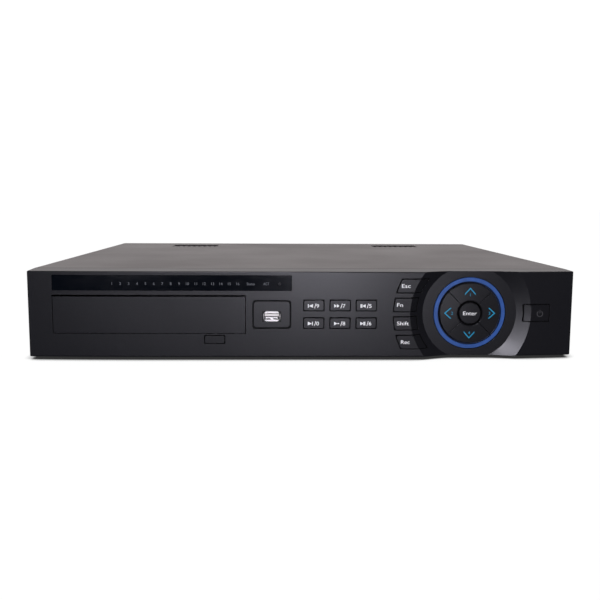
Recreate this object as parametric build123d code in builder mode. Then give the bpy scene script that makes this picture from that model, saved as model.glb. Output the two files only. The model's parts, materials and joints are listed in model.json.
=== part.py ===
from build123d import *
import os
from math import atan, cos, radians, sin, sqrt, tan

# Sixteen-channel video recorder in a 1.5 unit desktop case.
# Millimetres. X to the viewer's right, Y from front to back, Z up. The origin is the centre
# of the bounding box at the surface that the feet stand on.

# Case
WIDTH = 440.0
HEIGHT = 71.0
DEPTH = 411.0
CASE_DEPTH = 398.0
BOTTOM = 2.5
SHEET = 1.0
BEZEL_DEPTH = 28.6
WALL = 2.5
TOP_WALL = 1.8
KEY_PROUD = 0.6
FACE = -DEPTH / 2 + KEY_PROUD
REAR = FACE + CASE_DEPTH
TAIL = DEPTH / 2

# Plan shape of the bezel
LEFT_END = -217.5
RIGHT_END = 218.4
LEFT_BOW = 2.4
BOW_START_X = -120.0
RIGHT_FALL = 8.6

# Dial
DIAL_X = 134.65
DIAL_Z = 37.0
DISC_R = 38.15
DISC_DEPTH = 8.0
RIM_R = 49.6
RIM_FALL = 5.0
RIM_REACH = 2.2
RING_HOLE_R = 29.5
RING_FLANGE_R = 31.0
RING_OUT_R = 28.9
RING_BAND_R = 25.8
RING_IN_R = 24.9
PAD_R = 24.5
PAD_IN_R = 10.0
PAD_SPLIT = 0.35
ENTER_R = 8.7

# Keys
KEY_TRAVEL = 0.6
KEY_GAP = 0.8
FLANGE = 1.3
FLANGE_T = 1.0
SWITCH_DEPTH = 16.0
BOARD_DEPTH = 20.0
BOARD_T = 1.6
SWITCH_BODY = 3.5
STEM_R = 1.8
PLAY_W = 15.4
PLAY_H = 7.8
PLAY_X = 8.3
PLAY_PITCH_X = 20.9
PLAY_Z = (29.95, 44.1)
FUNCTION_OUT_R = 62.5
FUNCTION_IN_R = 44.3
POWER_IN_R = 44.0
POWER_RIGHT = 198.9
POWER_Z = (30.9, 43.9)
EJECT_X = -70.45
EJECT_Z = 16.65
EJECT_SIZE = (15.3, 5.7)
EJECT_TRAVEL = 1.0

# Front openings
WINDOW_X = (-198.2, -9.2)
WINDOW_Z = (55.6, 68.0)
DRAWER_X = (-198.5, -45.7)
DRAWER_Z = (21.2, 52.2)
USB_X = -25.05
USB_Z = 36.8
USB_INSERT = (30.9, 23.0)
GROOVE = 1.2
GROOVE_DEPTH = 2.9

# Optical drive
DRIVE_X = (-195.0, -49.0)
DRIVE_Z = (8.0, 49.3)
DRIVE_DEPTH = (6.5, 176.5)
TRAY_X = -122.0
TRAY_Z = (31.0, 39.0)

# Chassis
FLOOR_TOP = BOTTOM + SHEET
BOARD_Z = 9.1
BOARD_TOP = BOARD_Z + BOARD_T
PANEL_IN = REAR - 0.5 - SHEET
PANEL_OUT = REAR - 0.5

os.makedirs("parts", exist_ok=True)


def front(depth):
    """Plane parallel to the main face, depth behind it, with its normal out of the front."""
    return Plane.XZ.offset(-(FACE + depth))


def block(x, y, z, mode=Mode.ADD):
    """Box between the low and high limits given on each axis."""
    middle = ((x[0] + x[1]) / 2, (y[0] + y[1]) / 2, (z[0] + z[1]) / 2)
    with Locations(middle):
        Box(x[1] - x[0], y[1] - y[0], z[1] - z[0], mode=mode)


def around(centre, size):
    """Low and high limits of a length about its centre."""
    return (centre - size / 2, centre + size / 2)


def rod(x, z, radius, y, mode=Mode.ADD):
    """Cylinder along Y between the two limits in y."""
    with Locations(Location((x, (y[0] + y[1]) / 2, z), (90, 0, 0))):
        Cylinder(radius, y[1] - y[0], mode=mode)


def post(x, y, radius, z, mode=Mode.ADD):
    """Cylinder along Z between the two limits in z."""
    with Locations((x, y, (z[0] + z[1]) / 2)):
        Cylinder(radius, z[1] - z[0], mode=mode)


def cross_rod(y, z, radius, x, mode=Mode.ADD):
    """Cylinder along X between the two limits in x."""
    with Locations(Location(((x[0] + x[1]) / 2, y, z), (0, 90, 0))):
        Cylinder(radius, x[1] - x[0], mode=mode)


def deep(start, end):
    """Limits in Y of a span given as two depths behind the main face."""
    return (FACE + start, FACE + end)


# ---------------------------------------------------------------- bezel's outer shape


def plan_line(inset, rear_depth):
    """Plan outline: a slight bow at the left end, a flat run, and a right end that falls away."""
    left = (LEFT_END + inset, FACE + LEFT_BOW + inset)
    bow_start = (BOW_START_X, FACE + inset)
    crease = (DIAL_X, FACE + inset)
    right = (RIGHT_END - inset, FACE + RIGHT_FALL + inset)
    rear_right = (WIDTH / 2 - inset, FACE + rear_depth)
    rear_left = (-WIDTH / 2 + inset, FACE + rear_depth)
    TangentArc(bow_start, left, tangent=(-1, 0))
    Polyline(bow_start, crease, right, rear_right, rear_left, left)


# The dish runs from the sunk disc to a rim that follows the falling right end. The cone is
# carried on past the rim, so that it leaves the face cleanly.
rim_front = DISC_DEPTH + RIM_REACH * (0 - DISC_DEPTH)
rim_back = DISC_DEPTH + RIM_REACH * (RIM_FALL - DISC_DEPTH)
rim_radius = DISC_R + RIM_REACH * (RIM_R - DISC_R)
rim_tilt = atan((rim_back - rim_front) / (2 * rim_radius))
rim_plane = Plane(
    origin=(DIAL_X, FACE + (rim_front + rim_back) / 2, DIAL_Z),
    x_dir=(cos(rim_tilt), sin(rim_tilt), 0),
    z_dir=(sin(rim_tilt), -cos(rim_tilt), 0),
)
disc_plane = Plane(origin=(DIAL_X, FACE + DISC_DEPTH, DIAL_Z), x_dir=(1, 0, 0), z_dir=(0, -1, 0))

with BuildPart() as dish:
    with BuildSketch(disc_plane):
        Circle(DISC_R)
    with BuildSketch(rim_plane):
        Circle(rim_radius)
    loft(ruled=True)

EDGE_ROUND = 0.9
with BuildPart() as envelope:
    with BuildSketch(Plane.XY.offset(BOTTOM)):
        with BuildLine():
            plan_line(0, BEZEL_DEPTH)
        make_face()
    extrude(amount=HEIGHT - BOTTOM)
    upright = envelope.edges().filter_by(Axis.Z).filter_by(lambda e: e.center().Y < FACE + BEZEL_DEPTH / 2)
    fillet(upright.sort_by(Axis.X)[0], EDGE_ROUND)
    fillet(envelope.edges().filter_by(Axis.Z).sort_by(Axis.X)[-2], EDGE_ROUND)
    level = envelope.edges().filter_by(lambda e: abs(e.bounding_box().size.Z) < 0.01)
    fillet(level.filter_by(lambda e: e.center().Y < FACE + BEZEL_DEPTH / 2), EDGE_ROUND)
    add(dish.part, mode=Mode.SUBTRACT)


def skin(depth):
    """The bezel's envelope, moved so that its face lies depth behind the outer face."""
    return envelope.part.moved(Location((0, depth, 0)))


PRISM_FRONT = -2.0
PRISM_REACH = 17.0


def skin_slice(outline, grow, near, far):
    """Part of an outline's prism between two depths below the bezel's outer surface."""
    with BuildPart() as piece:
        with BuildSketch(front(PRISM_FRONT)):
            outline(grow)
        extrude(amount=-PRISM_REACH)
        if near > PRISM_FRONT:
            add(skin(near), mode=Mode.INTERSECT)
        if far is not None:
            add(skin(far), mode=Mode.SUBTRACT)
    return piece.part


# ---------------------------------------------------------------- outlines on the face


def rectangle_between(x, z, grow, radius):
    """Rounded rectangle between limits on the front plane, grown all round."""
    with Locations(((x[0] + x[1]) / 2, (z[0] + z[1]) / 2)):
        RectangleRounded(x[1] - x[0] + 2 * grow, z[1] - z[0] + 2 * grow, radius)


def playback_outline(column, row):
    """One of the six transport keys."""
    centre = PLAY_X + column * PLAY_PITCH_X

    def outline(grow):
        rectangle_between(around(centre, PLAY_W), around(PLAY_Z[row], PLAY_H), grow, 1.0)

    return outline


def function_outline(low, high):
    """One of the keys left of the dial, whose ends follow arcs about the dial's centre."""

    def outline(grow):
        with Locations((DIAL_X - FUNCTION_IN_R, (low + high) / 2)):
            Rectangle(FUNCTION_OUT_R, high - low + 2 * grow)
        with Locations((DIAL_X, DIAL_Z)):
            Circle(FUNCTION_OUT_R + grow, mode=Mode.INTERSECT)
            Circle(FUNCTION_IN_R - grow, mode=Mode.SUBTRACT)
        fillet(vertices(), 0.8)

    return outline


def power_outline(grow):
    """Power button, whose left end follows an arc about the dial's centre."""
    left = DIAL_X + DISC_R
    with Locations(((left + POWER_RIGHT + grow) / 2, sum(POWER_Z) / 2)):
        Rectangle(POWER_RIGHT + grow - left, POWER_Z[1] - POWER_Z[0] + 2 * grow)
    with Locations((DIAL_X, DIAL_Z)):
        Circle(POWER_IN_R - grow, mode=Mode.SUBTRACT)
    fillet(vertices(), 0.8)


def eject_outline(grow):
    """Small button under the disc drawer."""
    rectangle_between(around(EJECT_X, EJECT_SIZE[0]), around(EJECT_Z, EJECT_SIZE[1]), grow, 0.9)


def window_outline(grow):
    """Smoked indicator window along the top."""
    rectangle_between(WINDOW_X, WINDOW_Z, grow, 0.7)


def drawer_outline(grow):
    """Opening for the disc drawer."""
    rectangle_between(DRAWER_X, DRAWER_Z, grow, 0.7)


def usb_outline(grow):
    """Insert around the front socket."""
    rectangle_between(around(USB_X, USB_INSERT[0]), around(USB_Z, USB_INSERT[1]), grow, 2.6)


playback_keys = {
    "key_previous": (0, 1),
    "key_fast_forward": (1, 1),
    "key_frame_back": (2, 1),
    "key_next": (0, 0),
    "key_slow_play": (1, 0),
    "key_play_pause": (2, 0),
}
function_keys = {
    "key_escape": (54.7, 64.9),
    "key_function": (39.5, 49.7),
    "key_shift": (24.8, 34.7),
    "key_record": (9.4, 19.8),
}
pad_keys = {"key_right": 0, "key_up": 90, "key_left": 180, "key_down": 270}

# Each face key has an outline and a stem that presses its switch.
FUNCTION_STEM_X = 80.5
POWER_STEM = (188.5, sum(POWER_Z) / 2)
key_outlines = {"power_button": power_outline}
stem_places = {"power_button": POWER_STEM}
for name, (column, row) in playback_keys.items():
    key_outlines[name] = playback_outline(column, row)
    stem_places[name] = (PLAY_X + column * PLAY_PITCH_X, PLAY_Z[row])
for name, (low, high) in function_keys.items():
    key_outlines[name] = function_outline(low, high)
    stem_places[name] = (FUNCTION_STEM_X, (low + high) / 2)


def fall(x):
    """Depth of the falling right end's surface, which is 0 left of its crease."""
    return max(0.0, x - DIAL_X) * RIGHT_FALL / (RIGHT_END - DIAL_X)


# ---------------------------------------------------------------- front bezel

LIGHT_SLOT_X = (-156.0, -14.0)
LIGHT_SLOT_Z = (59.4, 63.0)
POCKET_DEPTH = 1.6
BOSS_R = 3.2
PILOT_R = 1.25
PILOT_LENGTH = 12.0
BOARD_BOSS_R = 2.6
BOARD_PILOT_R = 1.0
BOARD_PILOT_LENGTH = 7.0
LEFT_BOSS_FRONT = 2.3
RIGHT_BOSS_FRONT = 8.5
case_bosses = [(-209.0, 12.0), (-209.0, 50.0), (209.5, 12.0), (209.5, 60.0)]
board_bosses = [(-5.5, 14.0), (-5.5, 61.0), (66.0, 12.0), (66.0, 62.0), (198.0, 12.0), (198.0, 62.0)]

with BuildPart() as cavity:
    with BuildSketch(Plane.XY.offset(BOTTOM + TOP_WALL)):
        with BuildLine():
            plan_line(WALL, BEZEL_DEPTH + 1)
        make_face()
    extrude(amount=HEIGHT - BOTTOM - 2 * TOP_WALL)
    add(dish.part.moved(Location((0, WALL, 0))), mode=Mode.SUBTRACT)

with BuildPart() as front_bezel:
    add(envelope.part)
    add(cavity.part, mode=Mode.SUBTRACT)
    for places, radius, pilot, length, back in (
        (case_bosses, BOSS_R, PILOT_R, PILOT_LENGTH, BEZEL_DEPTH),
        (board_bosses, BOARD_BOSS_R, BOARD_PILOT_R, BOARD_PILOT_LENGTH, BOARD_DEPTH),
    ):
        for x, z in places:
            rod(x, z, radius, deep(RIGHT_BOSS_FRONT if x > DIAL_X else LEFT_BOSS_FRONT, back))
            rod(x, z, pilot, deep(back - length, back + 1), mode=Mode.SUBTRACT)
    add(skin_slice(window_outline, 0, PRISM_FRONT, POCKET_DEPTH), mode=Mode.SUBTRACT)
    block(LIGHT_SLOT_X, deep(-1, 6), LIGHT_SLOT_Z, mode=Mode.SUBTRACT)
    add(skin_slice(drawer_outline, 0, PRISM_FRONT, None), mode=Mode.SUBTRACT)
    add(skin_slice(eject_outline, KEY_GAP, PRISM_FRONT, None), mode=Mode.SUBTRACT)
    add(skin_slice(usb_outline, 0, PRISM_FRONT, None), mode=Mode.SUBTRACT)
    for outline in key_outlines.values():
        add(skin_slice(outline, KEY_GAP, PRISM_FRONT, None), mode=Mode.SUBTRACT)
    rod(DIAL_X, DIAL_Z, RING_HOLE_R, deep(DISC_DEPTH - 3, DISC_DEPTH + 6), mode=Mode.SUBTRACT)
front_bezel.part.label = "front_bezel"
export_step(front_bezel.part, "parts/front_bezel.step")

# ---------------------------------------------------------------- keys on the face

FLANGE_FRONT = WALL + 0.35
CAP_BACK = FLANGE_FRONT + FLANGE_T
STEM_END = SWITCH_DEPTH - KEY_TRAVEL - 0.1
for name, outline in key_outlines.items():
    stem_x, stem_z = stem_places[name]
    with BuildPart() as key_cap:
        add(skin_slice(outline, 0, -KEY_PROUD, CAP_BACK))
        add(skin_slice(outline, FLANGE, FLANGE_FRONT, CAP_BACK))
        rod(stem_x, stem_z, STEM_R, deep(fall(stem_x) + WALL, STEM_END))
    key_cap.part.label = name
    export_step(key_cap.part, f"parts/{name}.step")

DRIVE_SWITCH_DEPTH = 12.0
with BuildPart() as eject_button:
    add(skin_slice(eject_outline, 0, -KEY_PROUD, CAP_BACK))
    add(skin_slice(eject_outline, FLANGE, FLANGE_FRONT, CAP_BACK))
    rod(EJECT_X, EJECT_Z, STEM_R, deep(WALL, DRIVE_SWITCH_DEPTH - EJECT_TRAVEL - 0.1))
eject_button.part.label = "eject_button"
export_step(eject_button.part, "parts/eject_button.step")

# ---------------------------------------------------------------- direction pad

dial_axis = Axis((DIAL_X, 0, DIAL_Z), (0, 1, 0))
half_plane = Plane(origin=(DIAL_X, FACE, DIAL_Z), x_dir=(1, 0, 0), z_dir=(0, 0, 1))
PAD_BACK = 13.2
PAD_STEP = 12.2
PAD_FLANGE_R = 25.8

with BuildPart() as pad_form:
    with BuildSketch(half_plane):
        with BuildLine():
            Polyline(
                (PAD_IN_R, 7.0),
                (PAD_IN_R + 0.6, 6.5),
                (PAD_R - 0.5, 6.9),
                (PAD_R, 7.4),
                (PAD_R, PAD_STEP),
                (PAD_FLANGE_R, PAD_STEP),
                (PAD_FLANGE_R, PAD_BACK),
                (PAD_IN_R, PAD_BACK),
                close=True,
            )
        make_face()
    revolve(axis=dial_axis)

PAD_STEM_R = (PAD_IN_R + PAD_R) / 2
PAD_REACH = PAD_FLANGE_R * 2
for name, angle in pad_keys.items():
    apex = PAD_SPLIT / sqrt(2)
    corners = [(angle - 45, PAD_REACH), (angle, PAD_REACH * sqrt(2)), (angle + 45, PAD_REACH)]
    tip = (apex * cos(radians(angle)), apex * sin(radians(angle)))
    sector = [tip] + [(tip[0] + r * cos(radians(a)), tip[1] + r * sin(radians(a))) for a, r in corners]
    stem_x = DIAL_X + PAD_STEM_R * cos(radians(angle))
    stem_z = DIAL_Z + PAD_STEM_R * sin(radians(angle))
    stem_places[name] = (stem_x, stem_z)
    with BuildPart() as pad_key:
        with BuildSketch(disc_plane.offset(4)):
            Polygon(*sector, align=None)
        extrude(amount=-12)
        add(pad_form.part, mode=Mode.INTERSECT)
        rod(stem_x, stem_z, STEM_R, deep(PAD_BACK - 0.5, STEM_END))
    pad_key.part.label = name
    export_step(pad_key.part, f"parts/{name}.step")

ENTER_FLANGE = PAD_BACK + 0.8
with BuildPart() as key_enter:
    with BuildSketch(half_plane):
        with BuildLine():
            Polyline(
                (0, 6.0),
                (ENTER_R - 0.5, 6.1),
                (ENTER_R, 6.6),
                (ENTER_R, ENTER_FLANGE),
                (PAD_IN_R + 0.8, ENTER_FLANGE),
                (PAD_IN_R + 0.8, ENTER_FLANGE + 0.8),
                (STEM_R, ENTER_FLANGE + 0.8),
                (STEM_R, STEM_END),
                (0, STEM_END),
                close=True,
            )
        make_face()
    revolve(axis=dial_axis)
stem_places["key_enter"] = (DIAL_X, DIAL_Z)
key_enter.part.label = "key_enter"
export_step(key_enter.part, "parts/key_enter.step")

RING_TOP = DISC_DEPTH - 0.2
RING_LIP = 10.4
RING_BACK = 12.0
with BuildPart() as light_ring:
    with BuildSketch(half_plane):
        with BuildLine():
            Polyline(
                (RING_IN_R, RING_LIP),
                (RING_BAND_R - 0.1, RING_LIP),
                (RING_BAND_R, RING_TOP + 0.2),
                (RING_BAND_R + 0.3, RING_TOP),
                (RING_OUT_R - 0.3, RING_TOP),
                (RING_OUT_R, RING_TOP + 0.3),
                (RING_OUT_R, RING_LIP + 0.2),
                (RING_FLANGE_R, RING_LIP + 0.2),
                (RING_FLANGE_R, RING_BACK),
                (RING_IN_R, RING_BACK),
                close=True,
            )
        make_face()
    revolve(axis=dial_axis)
light_ring.part.label = "light_ring"
export_step(light_ring.part, "parts/light_ring.step")

# ---------------------------------------------------------------- window, drawer front, socket

WINDOW_GAP = -0.15
with BuildPart() as indicator_window:
    add(skin_slice(window_outline, WINDOW_GAP, 0.35, POCKET_DEPTH))
indicator_window.part.label = "indicator_window"
export_step(indicator_window.part, "parts/indicator_window.step")

DRAWER_T = 2.8
TRAY_FRONT = 4.6
panel_x = (DRAWER_X[0] + 0.5, DRAWER_X[1] - 0.5)
panel_z = (DRAWER_Z[0] + 0.5, DRAWER_Z[1] - 1.4)


def drawer_panel_outline(grow):
    """The drawer's front panel, with a wider gap along its top."""
    rectangle_between(panel_x, panel_z, grow, 0.6)


with BuildPart() as drawer_front:
    add(skin_slice(drawer_panel_outline, 0, 0, DRAWER_T))
    block((-182, -62), deep(2.0, TRAY_FRONT), (32, 38))
drawer_front.part.label = "drawer_front"
export_step(drawer_front.part, "parts/drawer_front.step")

SHELL_T = 0.4
SOCKET_W = 13.3
SOCKET_H = 5.9
LIP_W = 14.7
LIP_H = 8.0
LIP_CORNER = 2.6
SOCKET_FRONT = 0.4
SOCKET_Z = USB_Z - 1.6
with BuildPart() as usb_insert_plate:
    add(skin_slice(usb_outline, -0.05, GROOVE_DEPTH, WALL + 1.0))
    add(skin_slice(usb_outline, -GROOVE, 0, GROOVE_DEPTH + 0.05))
    block(around(USB_X, LIP_W + 0.3), deep(-1, 1.6), around(SOCKET_Z, LIP_H + 0.3), mode=Mode.SUBTRACT)
    block(around(USB_X, SOCKET_W + 0.3), deep(1, 5), around(SOCKET_Z, SOCKET_H + 0.3), mode=Mode.SUBTRACT)
usb_insert_plate.part.label = "usb_insert_plate"
export_step(usb_insert_plate.part, "parts/usb_insert_plate.step")

usb_centre = (USB_X, SOCKET_Z)
with BuildPart() as front_usb_shell:
    with BuildSketch(front(SOCKET_FRONT)):
        with Locations(usb_centre):
            RectangleRounded(LIP_W, LIP_H, LIP_CORNER)
    extrude(amount=-0.5)
    with BuildSketch(front(SOCKET_FRONT)):
        with Locations(usb_centre):
            RectangleRounded(SOCKET_W, SOCKET_H, 0.6)
    extrude(amount=-(BOARD_DEPTH - 0.1 - SOCKET_FRONT))
    inner = (SOCKET_W - 2 * SHELL_T, SOCKET_H - 2 * SHELL_T)
    block(
        around(usb_centre[0], inner[0]),
        deep(-1, BOARD_DEPTH - 1.5),
        around(usb_centre[1], inner[1]),
        mode=Mode.SUBTRACT,
    )
front_usb_shell.part.label = "front_usb_shell"
export_step(front_usb_shell.part, "parts/front_usb_shell.step")

with BuildPart() as front_usb_tongue:
    block(around(usb_centre[0], inner[0] - 0.1), deep(12, BOARD_DEPTH - 1.6), around(usb_centre[1], 5.0))
    block(around(usb_centre[0], 11.2), deep(2.2, 12.1), around(usb_centre[1] + 0.9, 1.9))
front_usb_tongue.part.label = "front_usb_tongue"
export_step(front_usb_tongue.part, "parts/front_usb_tongue.step")

# ---------------------------------------------------------------- front electronics

lamp_x = [-150.9 + 6.6 * i for i in range(16)] + [-41.6, -29.8, -19.4]
LAMP_BOARD_DEPTH = 5.4
with BuildPart() as lamp_board:
    block((-162, -12), deep(LAMP_BOARD_DEPTH, LAMP_BOARD_DEPTH + 1.2), (56, 66.5))
lamp_board.part.label = "lamp_board"
export_step(lamp_board.part, "parts/lamp_board.step")

with BuildPart() as status_lamps:
    for x in lamp_x:
        block(around(x, 3.0), deep(LAMP_BOARD_DEPTH - 1.7, LAMP_BOARD_DEPTH), around(61.2, 1.8))
status_lamps.part.label = "status_lamps"
export_step(status_lamps.part, "parts/status_lamps.step")

KEY_BOARD_X = (-44.0, 203.0)
KEY_BOARD_Z = (8.0, 66.0)
with BuildPart() as key_board:
    block(KEY_BOARD_X, deep(BOARD_DEPTH, BOARD_DEPTH + BOARD_T), KEY_BOARD_Z)
    for x, z in board_bosses:
        rod(x, z, 1.3, deep(BOARD_DEPTH - 1, BOARD_DEPTH + 3), mode=Mode.SUBTRACT)
key_board.part.label = "key_board"
export_step(key_board.part, "parts/key_board.step")

with BuildPart() as key_switches:
    for x, z in stem_places.values():
        block(around(x, 6), deep(BOARD_DEPTH - SWITCH_BODY, BOARD_DEPTH), around(z, 6))
        rod(x, z, 1.7, deep(SWITCH_DEPTH, BOARD_DEPTH - SWITCH_BODY))
key_switches.part.label = "key_switches"
export_step(key_switches.part, "parts/key_switches.step")

RIBBON_X = (-42.0, -22.0)
HEADER_DEPTH = BOARD_DEPTH + BOARD_T
RIBBON_Z = 14.0
RIBBON_LOW = 6.0
BOARD_FRONT = 235.0
with BuildPart() as ribbon_cable:
    with BuildSketch(Plane.YZ.offset(sum(RIBBON_X) / 2)):
        with BuildLine():
            FilletPolyline(
                (FACE + HEADER_DEPTH + 6, RIBBON_Z),
                (FACE + 38, RIBBON_Z),
                (FACE + 52, RIBBON_LOW),
                (FACE + BOARD_FRONT - 19, RIBBON_LOW),
                (FACE + BOARD_FRONT - 7, RIBBON_Z),
                (FACE + BOARD_FRONT + 4, RIBBON_Z),
                radius=6,
            )
        trace(line_width=0.9)
    extrude(amount=(RIBBON_X[1] - RIBBON_X[0]) / 2, both=True)
ribbon_cable.part.label = "ribbon_cable"
export_step(ribbon_cable.part, "parts/ribbon_cable.step")

# ---------------------------------------------------------------- optical drive

with BuildPart() as drive_case:
    block(DRIVE_X, deep(*DRIVE_DEPTH), DRIVE_Z)
    block(
        (DRIVE_X[0] + 0.8, DRIVE_X[1] - 0.8),
        deep(DRIVE_DEPTH[0] - 1, DRIVE_DEPTH[1] - 0.8),
        (DRIVE_Z[0] + 0.8, DRIVE_Z[1] - 0.8),
        mode=Mode.SUBTRACT,
    )
    block((-110, -60), deep(DRIVE_DEPTH[1] - 2, DRIVE_DEPTH[1] + 1), (11, 20), mode=Mode.SUBTRACT)
drive_case.part.label = "drive_case"
export_step(drive_case.part, "parts/drive_case.step")

TRAY_W = 130.0
TRAY_LENGTH = 158.0
DISC_CENTRE_DEPTH = 70.0
with BuildPart() as disc_tray:
    block(around(TRAY_X, TRAY_W), deep(TRAY_FRONT, TRAY_FRONT + TRAY_LENGTH), TRAY_Z)
    disc_y = FACE + DISC_CENTRE_DEPTH
    post(TRAY_X, disc_y, 60.6, (TRAY_Z[1] - 2.0, TRAY_Z[1] + 1), mode=Mode.SUBTRACT)
    post(TRAY_X, disc_y, 41.0, (TRAY_Z[1] - 3.2, TRAY_Z[1] + 1), mode=Mode.SUBTRACT)
    with BuildSketch(Plane.XY.offset(TRAY_Z[0] - 1)):
        with Locations((TRAY_X, disc_y + 28)):
            SlotOverall(96, 38, rotation=90)
    extrude(amount=12, mode=Mode.SUBTRACT)
    for side in (-1, 1):
        rail = TRAY_X + side * (TRAY_W / 2 - 2)
        block(around(rail, 2), deep(14, 170), (TRAY_Z[0] - 1, TRAY_Z[0] + 3), mode=Mode.SUBTRACT)
disc_tray.part.label = "disc_tray"
export_step(disc_tray.part, "parts/disc_tray.step")

DECK_W = 116.0
DECK_DEPTH = (30.0, 160.0)
DECK_Z = 12.0
GUIDE_DEPTH = (76.0, 150.0)
SLED_DEPTH = 113.0
with BuildPart() as drive_mechanism:
    block(around(TRAY_X, DECK_W), deep(DECK_DEPTH[0], DECK_DEPTH[1]), (DECK_Z, DECK_Z + 1.6))
    for x in (TRAY_X - DECK_W / 2 + 8, TRAY_X + DECK_W / 2 - 8):
        for y in (DECK_DEPTH[0] + 8, DECK_DEPTH[1] - 8):
            post(x, FACE + y, 3, (DRIVE_Z[0] + 0.8, DECK_Z + 0.1))
    for radius, z in ((13, (DECK_Z + 1.5, 20)), (12, (20, 26)), (7.4, (26, 30.4))):
        post(TRAY_X, disc_y, radius, z)
    for side in (-1, 1):
        rod(TRAY_X + side * 21, 18, 1.5, deep(*GUIDE_DEPTH))
    block(around(TRAY_X, 50), deep(SLED_DEPTH - 13, SLED_DEPTH + 13), (DECK_Z + 2.5, 22))
    post(TRAY_X, FACE + SLED_DEPTH, 4, (22, 24.5))
    for y in GUIDE_DEPTH:
        block(around(TRAY_X, 50), deep(y - 2, y + 2), (DECK_Z + 1.5, 20))
    block((-86, -56), deep(16.0, 17.6), (9.2, 22))
    block((-86, -66), deep(17.5, 32), (10.5, 12.1))
    block(around(EJECT_X, 6), deep(DRIVE_SWITCH_DEPTH + 0.5, 16.1), around(EJECT_Z, 6))
    rod(EJECT_X, EJECT_Z, 1.7, deep(DRIVE_SWITCH_DEPTH, DRIVE_SWITCH_DEPTH + 0.6))
drive_mechanism.part.label = "drive_mechanism"
export_step(drive_mechanism.part, "parts/drive_mechanism.step")

# ---------------------------------------------------------------- chassis tray

INNER_HALF = WIDTH / 2 - SHEET - 0.2
FLANGE_H = 12.0
WALL_TOP = HEIGHT - 2.5
DRIVE_HOLE = ((-200, -46), (FLOOR_TOP, 58))
RIBBON_HOLE = ((-44, -4), (FLOOR_TOP, 40))
WALL_DEPTH = (BEZEL_DEPTH + 0.5, BEZEL_DEPTH + 0.5 + SHEET)
MAIN_BOARD_X = (-46.0, 212.0)
MAIN_BOARD_Y = (FACE + BOARD_FRONT, FACE + 386)
SCREW_R = 1.45
board_screws = [(x, y) for x in (-38.0, 80.0, 204.0) for y in (FACE + 252, FACE + 372)]
side_screw_y = [FACE + 110, FACE + 230, FACE + 380]
SIDE_SCREW_Z = 11.0
EAR_Y = (FACE + 56, FACE + 88)
EAR_Z = (20.0, 52.0)
EAR_R = 2.25
DISK_W = 101.6
DISK_LENGTH = 147.0
DISK_H = 26.1
disk_x = (0.0, 108.4)
disk_z = (8.0, 37.0)
DISK_DEPTH = 62.0
CAGE_GAP = 0.25
CAGE_T = 1.1
DISK_SCREW_Y = (28.5, 129.0)
DISK_SCREW_Z = 6.4
DRIVE_POST_X = (-184.0, -60.0)
DRIVE_POST_DEPTH = (48.0, 158.0)
SUPPLY_X = (-212.0, -120.0)
SUPPLY_Y = (FACE + 240, FACE + 375)

with BuildPart() as base_tray:
    block((-INNER_HALF, INNER_HALF), (FACE + WALL_DEPTH[0], PANEL_IN), (BOTTOM, FLOOR_TOP))
    block((-INNER_HALF, INNER_HALF), deep(*WALL_DEPTH), (BOTTOM, WALL_TOP))
    for side in (-1, 1):
        flange_x = sorted((side * INNER_HALF, side * (INNER_HALF - SHEET)))
        block(flange_x, (FACE + WALL_DEPTH[0], PANEL_IN), (BOTTOM, BOTTOM + FLANGE_H))
        for y in side_screw_y:
            cross_rod(y, SIDE_SCREW_Z, 1.7, (flange_x[0] - 1, flange_x[1] + 1), mode=Mode.SUBTRACT)
    for hole_x, hole_z in (DRIVE_HOLE, RIBBON_HOLE):
        block(hole_x, deep(BEZEL_DEPTH, BEZEL_DEPTH + 3), hole_z, mode=Mode.SUBTRACT)
    with BuildSketch(front(BEZEL_DEPTH)):
        with Locations((105, 34)):
            with GridLocations(14, 0, 14, 1):
                SlotOverall(40, 6, rotation=90)
    extrude(amount=-3, mode=Mode.SUBTRACT)
    for x, z in case_bosses:
        rod(x, z, 1.6, deep(BEZEL_DEPTH, BEZEL_DEPTH + 3), mode=Mode.SUBTRACT)
    for x, y in board_screws:
        post(x, y, 3.0, (FLOOR_TOP, BOARD_Z))
        post(x, y, 1.55, (FLOOR_TOP - 2, BOARD_Z + 1), mode=Mode.SUBTRACT)
    for x in (SUPPLY_X[0] + 6, SUPPLY_X[1] - 6):
        for y in (SUPPLY_Y[0] + 6, SUPPLY_Y[1] - 6):
            post(x, y, 3.0, (FLOOR_TOP, BOARD_Z))
    for x in DRIVE_POST_X:
        for depth in DRIVE_POST_DEPTH:
            post(x, FACE + depth, 4.0, (FLOOR_TOP, DRIVE_Z[0]))
base_tray.part.label = "base_tray"
export_step(base_tray.part, "parts/base_tray.step")

# ---------------------------------------------------------------- cover

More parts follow.
